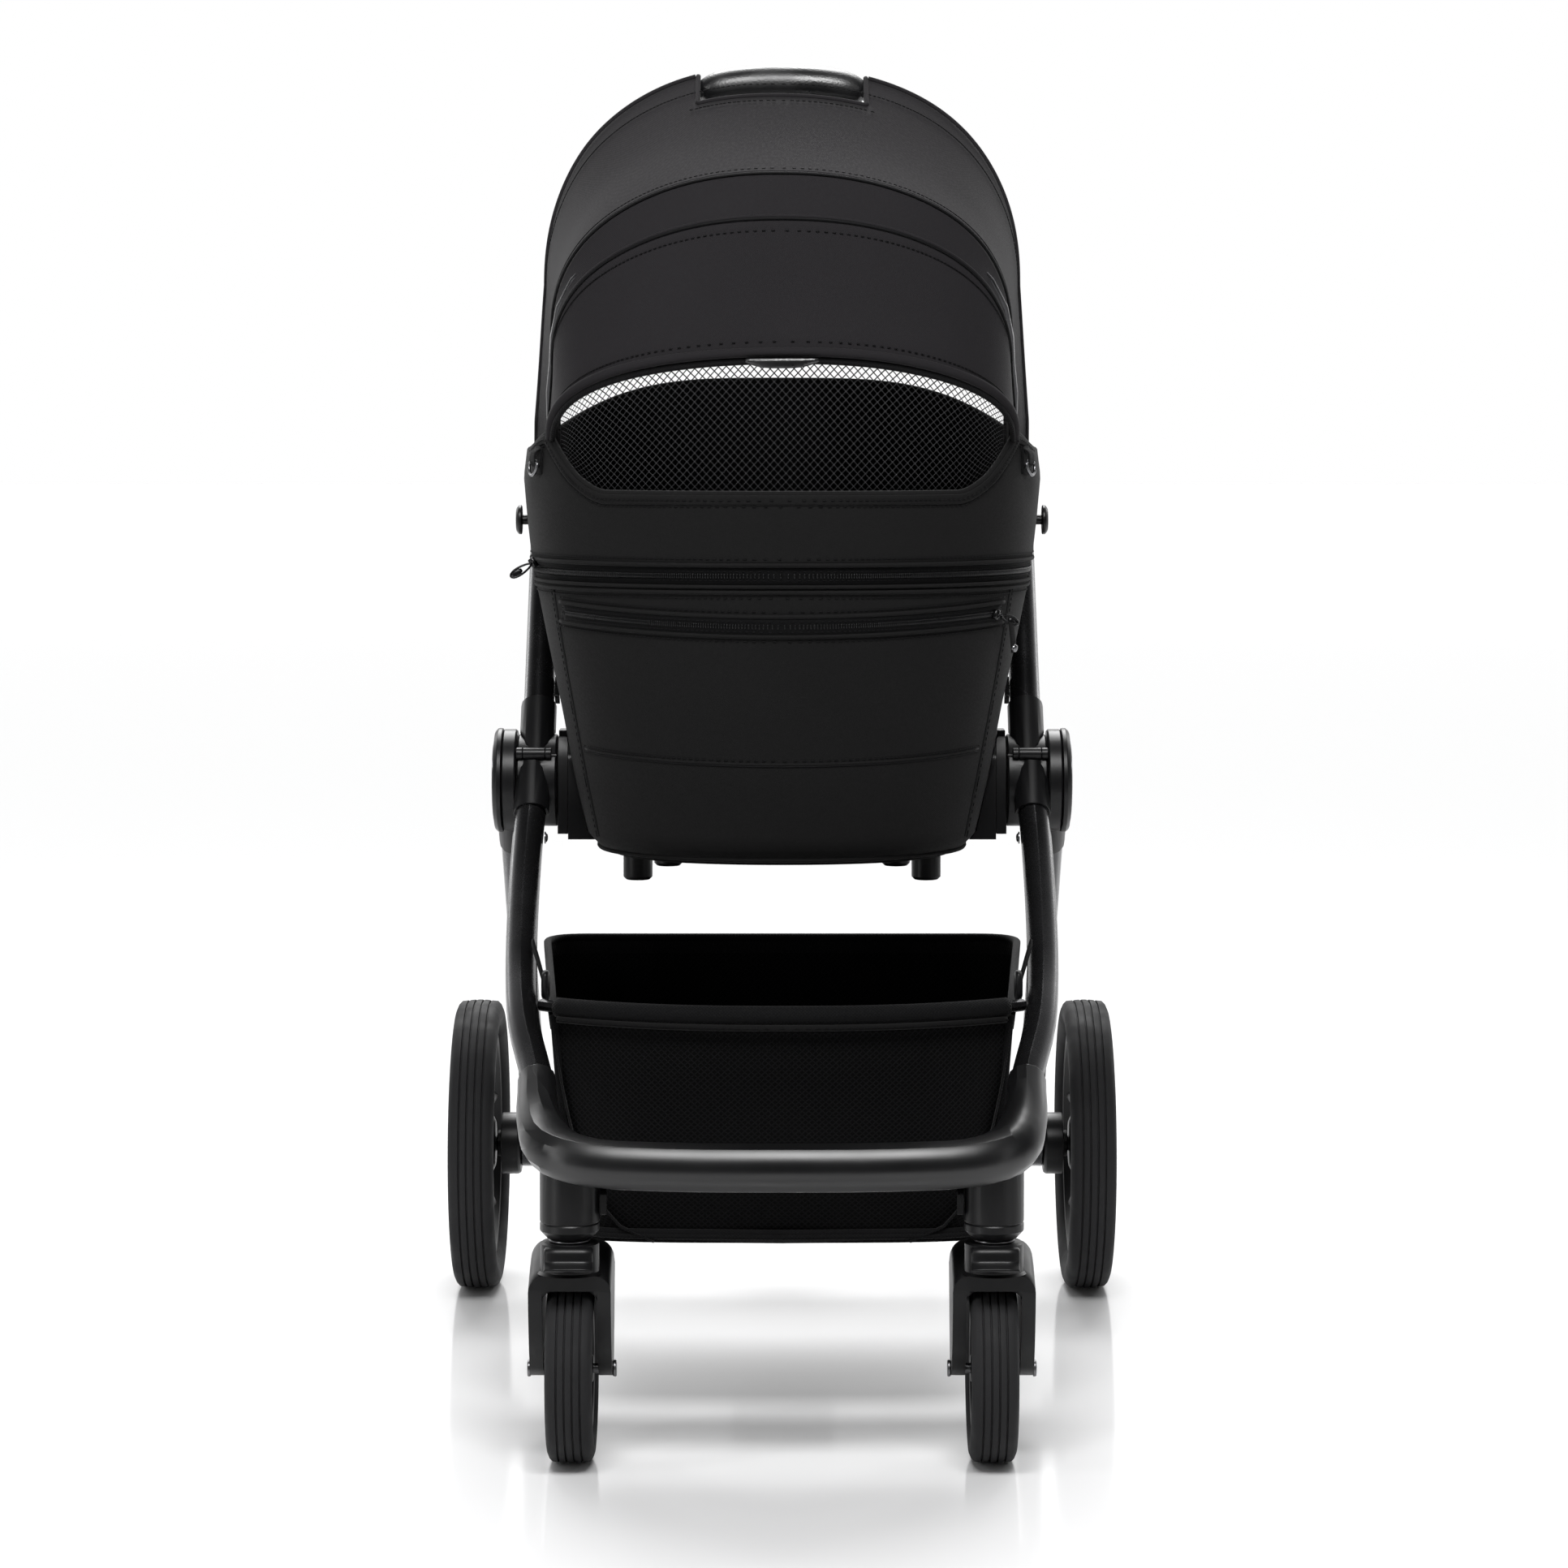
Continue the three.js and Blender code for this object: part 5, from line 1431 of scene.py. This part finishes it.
def carry_grip():
    """The padded leather grip on the hoop, tapered at its ends, with its seam underneath."""
    half = high("carry_grip").x + 0.0045
    radius = (high("carry_grip").y - low("carry_grip").y) / 2
    path = [hoop_point(x) + UP * 0.0015 for x in np.linspace(-half, half, 41)]
    sizes = [0.55 + 0.45 * (1 - abs(s) ** 7) for s in np.linspace(-1, 1, 41)]
    swept(
        "carry_grip_leather", path, (0, 0, 1), round_section(radius, 28, 0.92), LEATHER,
        "carry_hoop", "grip", sizes=sizes, stands_for=["carry_grip"],
    )
    drop = UP * (radius * 0.92 - 0.0013)
    under = [hoop_point(x) - drop for x in np.linspace(-half * 0.8, half * 0.8, 40)]
    stitching("carry_grip_stitches", [sewn(under, (0, 0, -1), 0.0045)], "carry_hoop")


# ---- window net -------------------------------------------------------------------------

def window():
    """The see-through net from inside the tub's front edge up to the hood's rolled edge."""
    edge = [p for p in hood_arch(EDGE - 0.4, 140, inset=0.005) if p.z > RIM_HORN - 0.012]
    top = [Vector(p) for p in spaced(edge, 90)]
    rows = []
    for rise in np.linspace(0, 1, 14):
        row = []
        for upper in top:
            turn = front_turn(clamp(upper.x * 0.985, -0.187, 0.187), RIM_FRONT)
            foot = tub_point(turn, min(rim_height(turn), RIM_HORN) - 0.010, 0.0075)
            point = foot.lerp(upper, float(rise))
            point.y -= 0.006 * math.sin(math.pi * rise)
            row.append(point)
        rows.append(row)
    mesh = grid_mesh("window_net", rows)
    made = finished("window_net", mesh, WINDOW_NET, "carrier", ["window_mesh"])


# ---- basket -----------------------------------------------------------------------------

BASKET_LOW, BASKET_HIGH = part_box("basket")
BASKET_MIDDLE = -0.05
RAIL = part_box("basket_rail")
RAIL_Z = (RAIL[0].z + RAIL[1].z) / 2
BASKET_TOP = {
    "front": BASKET_LOW.y, "rear": BASKET_HIGH.y, "front_half": 0.177, "rear_half": 0.205,
    "corner": 0.034,
}
BASKET_FLOOR = {
    "front": BASKET_LOW.y + 0.032, "rear": BASKET_HIGH.y - 0.032, "front_half": 0.158,
    "rear_half": 0.166, "corner": 0.040,
}


def bent(start, control, end):
    """A curve from start to end, drawn towards a control point."""
    shares = [i / 8 for i in range(9)]
    return [start * (1 - t) ** 2 + control * 2 * t * (1 - t) + end * t ** 2 for t in shares]


def mirrored(points):
    """The same points on the other side of the centre plane, in the opposite order."""
    return [Vector((-p.x, p.y, p.z)) for p in reversed(points)]


def basket_half(z, inset=0.0):
    """The right half of the basket's outline at a height, from the front round to the rear."""
    rise = z - BASKET_LOW.z
    level = np.interp(rise, (0, 0.016, 0.100, 0.189), (0, 0.08, 0.55, 1))
    size = {key: lerp(BASKET_FLOOR[key], BASKET_TOP[key], level) for key in BASKET_TOP}
    front, rear, corner = size["front"] + inset, size["rear"] - inset, size["corner"]
    front_half, rear_half = size["front_half"] - inset, size["rear_half"] - inset

    def spots(*pairs):
        return [Vector((x, y, z)) for x, y in pairs]

    start = (front_half - corner, front + 0.006)
    line = spots((0, front), start)
    line += bent(*spots(start, (front_half, front + 0.012), (front_half + 0.001, front + corner)))
    line += bent(*spots(
        (rear_half, rear - corner), (rear_half, rear), (rear_half - corner, rear),
    ))
    return line + spots((0, rear))


def basket_ring(z, inset=0.0):
    """The whole outline at a height, as evenly spaced points from the front and round."""
    right = basket_half(z, inset)
    return [Vector(p) for p in spaced([*right, *mirrored(right[1:-1])], 200, closed=True)]


def wall_row(z, belly):
    """The sides and rear of the basket at a height, from the front right corner round."""
    half = spaced(basket_half(z), 400)
    kept = [p for p in half if p[1] > BASKET_LOW.y + 0.035]
    right = [Vector(p) for p in spaced(kept, 80)]
    row = [*right, *mirrored(right[:-1])]
    return [Vector((p.x * (1 + belly), p.y, p.z)) for p in row]


def from_middle(points):
    """The level directions straight out of the basket at points on its wall."""
    return [Vector((p.x, p.y - BASKET_MIDDLE, 0)).normalized() for p in points]


def rail_y(x):
    """How far forward the basket rail is at a distance from the centre plane."""
    forward, back = RAIL[0].y + 0.0048, RAIL[1].y - 0.0048
    return lerp(forward, back, clamp(abs(x) / RAIL[1].x) ** 2.5)


def front_row(share):
    """A row of the front panel, from the rail at share 0 to the floor's edge at share 1."""
    half = BASKET_TOP["front_half"]
    row = []
    for x in np.linspace(-1, 1, 70):
        top = Vector((x * half, rail_y(x * half), RAIL_Z - 0.006))
        foot_x = x * half * 0.93
        foot_y = BASKET_FLOOR["front"] + 0.004 + 0.016 * abs(x) ** 4
        foot = Vector((foot_x, foot_y, BASKET_LOW.z + 0.010))
        point = top.lerp(foot, share)
        point.y -= 0.010 * math.sin(math.pi * share) * (1 - abs(x) ** 4)
        row.append(point)
    return row


def basket():
    """Net walls on a bound top edge, a front panel hung from the rail, and a cloth floor."""
    front = [front_row(s) for s in np.linspace(0, 1, 26)]
    heights = np.linspace(BASKET_HIGH.z - 0.010, BASKET_LOW.z + 0.012, 20)
    walls = [wall_row(z, 0.012 * math.sin(math.pi * i / 19)) for i, z in enumerate(heights)]
    for name, rows, stands_for in (
        ("basket_front_net", front, []), ("basket_wall_net", walls, ["basket"]),
    ):
        made = finished(name, grid_mesh(name, rows), BASKET_NET, "front_frame", stands_for)
    basket_floor()
    basket_edges()
    rail_sleeve()


def basket_floor():
    ring = basket_ring(BASKET_LOW.z + 0.016)
    centre = sum(ring, Vector()) / len(ring)
    rows = [basket_ring(BASKET_LOW.z + 0.022, -0.0006), ring]
    for share in (0.97, 0.85, 0.6, 0.3, 0.02):
        sag = UP * (0.012 * (1 - share ** 2) + 0.004)
        rows.append([
            Vector((lerp(centre.x, p.x, share), lerp(centre.y, p.y, share), p.z)) - sag for p in ring
        ])
    mesh = grid_mesh("basket_floor", rows, closed=True)
    made = finished("basket_floor", mesh, WEBBING, "front_frame")
    thicken(made, 0.0016)


def basket_strip(name, path, ups, section, look=None, closed=False):
    strip(name, path, ups, section, look or WEBBING, "front_frame", closed)


def basket_edges():
    """The bound top edge with its stitches, corner tapes, front hems and a bottom piping."""
    band = wall_row(BASKET_HIGH.z - 0.007, 0.0)
    basket_strip("basket_top_band", band, from_middle(band), band_section(0.021, 0.0018))
    roll = wall_row(BASKET_HIGH.z + 0.0035, 0.0)
    basket_strip("basket_top_roll", roll, from_middle(roll), round_section(0.0034))
    floor = basket_ring(BASKET_LOW.z + 0.016, -0.001)
    section = round_section(0.0024, 8)
    basket_strip("basket_floor_piping", floor, from_middle(floor), section, closed=True)
    for side, sign in SIDES.items():
        column = 0 if sign < 0 else -1
        hem = [front_row(s)[column] + Vector((0, -0.0008, 0)) for s in np.linspace(0, 1, 24)]
        basket_strip(f"basket_front_hem_{side}", hem, (0, -1, 0), band_section(0.007, 0.0014))
        heights = np.linspace(BASKET_HIGH.z, BASKET_LOW.z + 0.012, 16)
        corner = [wall_row(z, 0.0)[-1 - column] for z in heights]
        tape = band_section(0.008, 0.0014)
        basket_strip(f"basket_corner_tape_{side}", corner, (sign, 0, 0), tape)
    runs = []
    for z in (BASKET_HIGH.z - 0.0005, BASKET_HIGH.z - 0.0145):
        row = wall_row(z, 0.006)
        runs.append(sewn(row, from_middle(row), 0.006, lift=0.0012))
    stitching("basket_band_stitches", runs, "front_frame")


def rail_sleeve():
    """The cloth wrapped round the rail and its stitched flange."""
    xs = np.linspace(-0.1745, 0.1745, 80)
    path = [Vector((x, rail_y(x), RAIL_Z)) for x in xs]
    basket_strip("rail_sleeve", path, (0, 0, 1), round_section(0.0078, 16))
    flange = [Vector((x, rail_y(x) - 0.0062, RAIL_Z - 0.0085)) for x in xs]
    basket_strip("rail_flange", flange, (0, -1, 0.1), band_section(0.0050, 0.0014), CLOTH)
    stitches = [p + Vector((0, -0.0021, 0)) for p in flange]
    stitching("rail_stitches", [sewn(stitches, (0, -1, 0.1), 0.0050)], "front_frame")


def basket_straps():
    """A webbing strap and a snap clip from each upper corner of the basket to the frame."""
    for side, sign in SIDES.items():
        front = wall_row(BASKET_HIGH.z, 0.0)[0 if sign > 0 else -1]
        aside = sign * (high("front_leg_right").x - 0.024)
        path = curve_through([
            front + Vector((sign * 0.001, 0.01, -0.012)),
            front + Vector((sign * 0.006, 0.016, 0.018)),
            Vector((aside, front.y + 0.040, BASKET_HIGH.z + 0.052)),
        ])
        basket_strip(f"basket_strap_{side}", path, (sign, 0, 0.1), band_section(0.013, 0.0016))
        clip = path[11]
        swept(
            f"basket_clip_{side}", [clip + Vector((0, 0, s)) for s in (-0.011, -0.008, 0.008, 0.011)],
            (sign, 0, 0), round_section(0.0082, 16, 0.42), PLASTIC, "front_frame", "plastic",
            sizes=[0.75, 1, 1, 0.7],
        )


# ---- small metalwork --------------------------------------------------------------------

def screw(name, place, facing, radius, body):
    """A domed screw head with a round socket, standing in a shallow collar."""
    turned(name, [
        (radius * 1.35, -0.0006), (radius * 1.35, 0.0003), (radius * 1.08, 0.0006), (radius, 0.0006),
        (radius * 0.96, radius * 0.32), (radius * 0.7, radius * 0.52), (radius * 0.42, radius * 0.58),
        (radius * 0.40, radius * 0.2), (0, radius * 0.2),
    ], place, facing, DARK_STEEL, body, 28)


def collar(name, centre, axis, radius, half, body, look):
    """A thin raised ring round a tube or stem."""
    turned(name, [
        (radius - 0.0015, -half), (radius, -half), (radius + 0.0007, -half * 0.5),
        (radius + 0.0007, half * 0.5), (radius, half), (radius - 0.0015, half), (radius - 0.0015, -half),
    ], centre, axis, look, body, 56)


def cap_details(side, sign):
    """The metal ring and the raised middle on a hub cap."""
    cap = middle(f"hub_cap_{side}")
    radius = (high("hub_cap_right").z - low("hub_cap_right").z) / 2
    face = Vector((high("hub_cap_right").x * sign, cap.y, cap.z))
    out = (sign, 0, 0)
    ring = [
        (radius * 0.80, -0.0004), (radius * 0.80, 0.0008), (radius * 0.74, 0.0012),
        (radius * 0.70, 0.0006), (radius * 0.66, -0.0004), (radius * 0.80, -0.0004),
    ]
    turned(f"hub_cap_ring_{side}", ring, face, out, METAL, "rear_frame", 72)
    boss = [
        (0, 0.0012), (radius * 0.24, 0.0012), (radius * 0.28, 0.0006), (radius * 0.29, -0.0004),
        (0, -0.0004),
    ]
    turned(f"hub_cap_boss_{side}", boss, face, out, PLASTIC_FINE, "rear_frame", 48)


def tube_screws(side, sign):
    """Two rivets inside each push bar sleeve, and one screw inside each front leg."""
    inward = Vector((-sign, 0, 0))
    push = middle(f"push_sleeve_{side}")
    inner = low("push_tube_right").x * sign
    for index, along in enumerate((0.085, 0.118)):
        place = Vector((inner, push.y, push.z)) + SLOPE * along - inward * 0.0003
        screw(f"push_rivet_{side}_{index}", place, inward, 0.0034, "push_bar")
    across = SLOPE.cross(Vector((1, 0, 0))).normalized()
    leg = middle(f"hub_body_{side}") - SLOPE * 0.062 - across * 0.012
    place = Vector((sign * (low("front_leg_right").x + 0.0175), leg.y, leg.z))
    screw(f"leg_screw_{side}", place, inward, 0.0036, "front_frame")


def wheel_details(side, sign):
    """The swivel housing's screw, the ring round its stem, and the rear wheel's axle cap."""
    out = (sign, 0, 0)
    housing = middle(f"swivel_housing_{side}")
    foot, top = low(f"swivel_housing_{side}").z, high(f"swivel_housing_{side}").z
    wide = (high("swivel_housing_right").x - low("swivel_housing_right").x) / 2
    place = Vector((housing.x + sign * wide * 0.985, housing.y - 0.002, top - 0.012))
    screw(f"housing_screw_{side}", place, out, 0.0026, "front_frame")
    stem = (housing.x, housing.y, foot - 0.0018)
    collar(f"stem_ring_{side}", stem, UP, 0.0150, 0.0012, f"caster_{side}", DARK_STEEL)
    wheel = middle(f"rear_rim_{side}")
    place = Vector((sign * (high("rear_rim_right").x - 0.0012), wheel.y, wheel.z))
    screw(f"rear_wheel_cap_{side}", place, out, 0.0062, f"rear_wheel_{side}")


def metalwork():
    for side, sign in SIDES.items():
        cap_details(side, sign)
        tube_screws(side, sign)
        wheel_details(side, sign)


def handle_grip():
    """The leather sleeve on the handle, with its stitched seam and a ring at each end."""
    lo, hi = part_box("handle_grip")
    centre = (lo + hi) / 2
    half, radius = (hi.x - lo.x) / 2, (hi.z - lo.z) / 2
    path = [Vector((x, centre.y, centre.z)) for x in np.linspace(-half, half, 33)]
    sizes = [0.88 + 0.12 * (1 - abs(s) ** 14) for s in np.linspace(-1, 1, 33)]
    swept(
        "handle_grip_leather", path, (0, 0, 1), round_section(radius, 32), LEATHER, "handle", "grip",
        sizes=sizes, stands_for=["handle_grip"],
    )
    seam = [Vector((x, hi.y + 0.0002, centre.z)) for x in np.linspace(-half * 0.93, half * 0.93, 60)]
    stitching("handle_grip_stitches", [sewn(seam, (0, 1, 0), 0.0050)], "handle")
    for side, sign in SIDES.items():
        place = (sign * (half - 0.004), centre.y, centre.z)
        collar(
            f"grip_ring_{side}", place, (1, 0, 0), radius - 0.0002, 0.0030, "handle",
            PLASTIC_FINE,
        )


# ---- studio -----------------------------------------------------------------------------

def studio():
    """A pale glossy floor, one light above, two each side, and a soft one from behind."""
    near, far = 1.3, 30
    corners = [(-far, -near, 0), (far, -near, 0), (far, far, 0), (-far, far, 0)]
    made = placed("floor", mesh_of("floor", corners, [(0, 1, 2, 3)]))
    gloss = Look("floor_gloss", (0.86, 0.86, 0.865), 0.10, specular_ior_level=0.5)
    made.data.materials.append(gloss.material)
    white_room()
    for name, place, target, size, power in (
        ("overhead", (0, -1.55, 2.15), (0, -0.1, 0.95), (1.3, 0.7), 58),
        ("strip_left", (-2.1, -1.5, 1.1), (0, 0, 0.7), (0.25, 2.2), 16),
        ("strip_right", (2.1, -1.7, 1.1), (0, 0, 0.7), (0.2, 2.2), 4),
        ("rim_right", (1.9, 2.0, 1.6), (0, 0, 0.7), (0.5, 2.0), 12),
        ("rim_left", (-1.9, 2.0, 1.6), (0, 0, 0.7), (0.5, 2.0), 12),
    ):
        light = bpy.data.lights.new(name, "AREA")
        light.shape = "RECTANGLE"
        light.size, light.size_y = size
        light.energy = power
        stand_light(light, place, target)
    back = bpy.data.lights.new("behind", "SUN")
    back.energy = 3.3
    back.angle = math.radians(40)
    stand_light(back, (0, 2.0, 2.2), (0, 0, 0))
    bpy.context.scene.view_settings.view_transform = "Standard"


def stand_light(light, place, target):
    lamp = placed(light.name, light)
    lamp.location = place
    lamp.rotation_euler = (Vector(target) - Vector(place)).to_track_quat("-Z", "Y").to_euler()


def white_room():
    """A room that is dim in front of the stroller and white behind it and in the picture."""
    world = bpy.data.worlds.new("white_room")
    bpy.context.scene.world = world
    world.use_nodes = True
    nodes, links = world.node_tree.nodes, world.node_tree.links
    parts = nodes.new("ShaderNodeSeparateXYZ")
    links.new(nodes.new("ShaderNodeTexCoord").outputs["Generated"], parts.inputs[0])
    backdrop = nodes.new("ShaderNodeMapRange")
    backdrop.interpolation_type = "SMOOTHSTEP"
    links.new(parts.outputs["Y"], backdrop.inputs[0])
    for index, number in enumerate((0.0, 0.7, 0.03, 1.0), start=1):
        backdrop.inputs[index].default_value = number
    seen = nodes.new("ShaderNodeMath")
    seen.operation = "MAXIMUM"
    links.new(backdrop.outputs[0], seen.inputs[0])
    links.new(nodes.new("ShaderNodeLightPath").outputs["Is Camera Ray"], seen.inputs[1])
    background = nodes["Background"]
    background.inputs["Color"].default_value = (1, 1, 1, 1)
    links.new(seen.outputs[0], background.inputs["Strength"])


def camera():
    """A long lens in front of the stroller at the hood's height, looking slightly down."""
    data = bpy.data.cameras.new("camera")
    made = placed("camera", data)
    bpy.context.scene.camera = made
    data.lens = 99.16
    data.sensor_width = 36.0
    data.shift_y = -0.10
    made.location = (0.0016, -3.5998, 0.8252)
    made.rotation_euler = (math.radians(90 - 3.312), 0, 0)


camera()
studio()
dress_frame()
make_wheels()
for side in SIDES:
    caster_fork(side)
carrier_body()
carrier_floor()
main_zip()
pocket()
panel_seams()
rim_binding()
zip_pulls()
side_rings()
cushion()
hood()
carry_grip()
window()
basket()
basket_straps()
metalwork()
handle_grip()
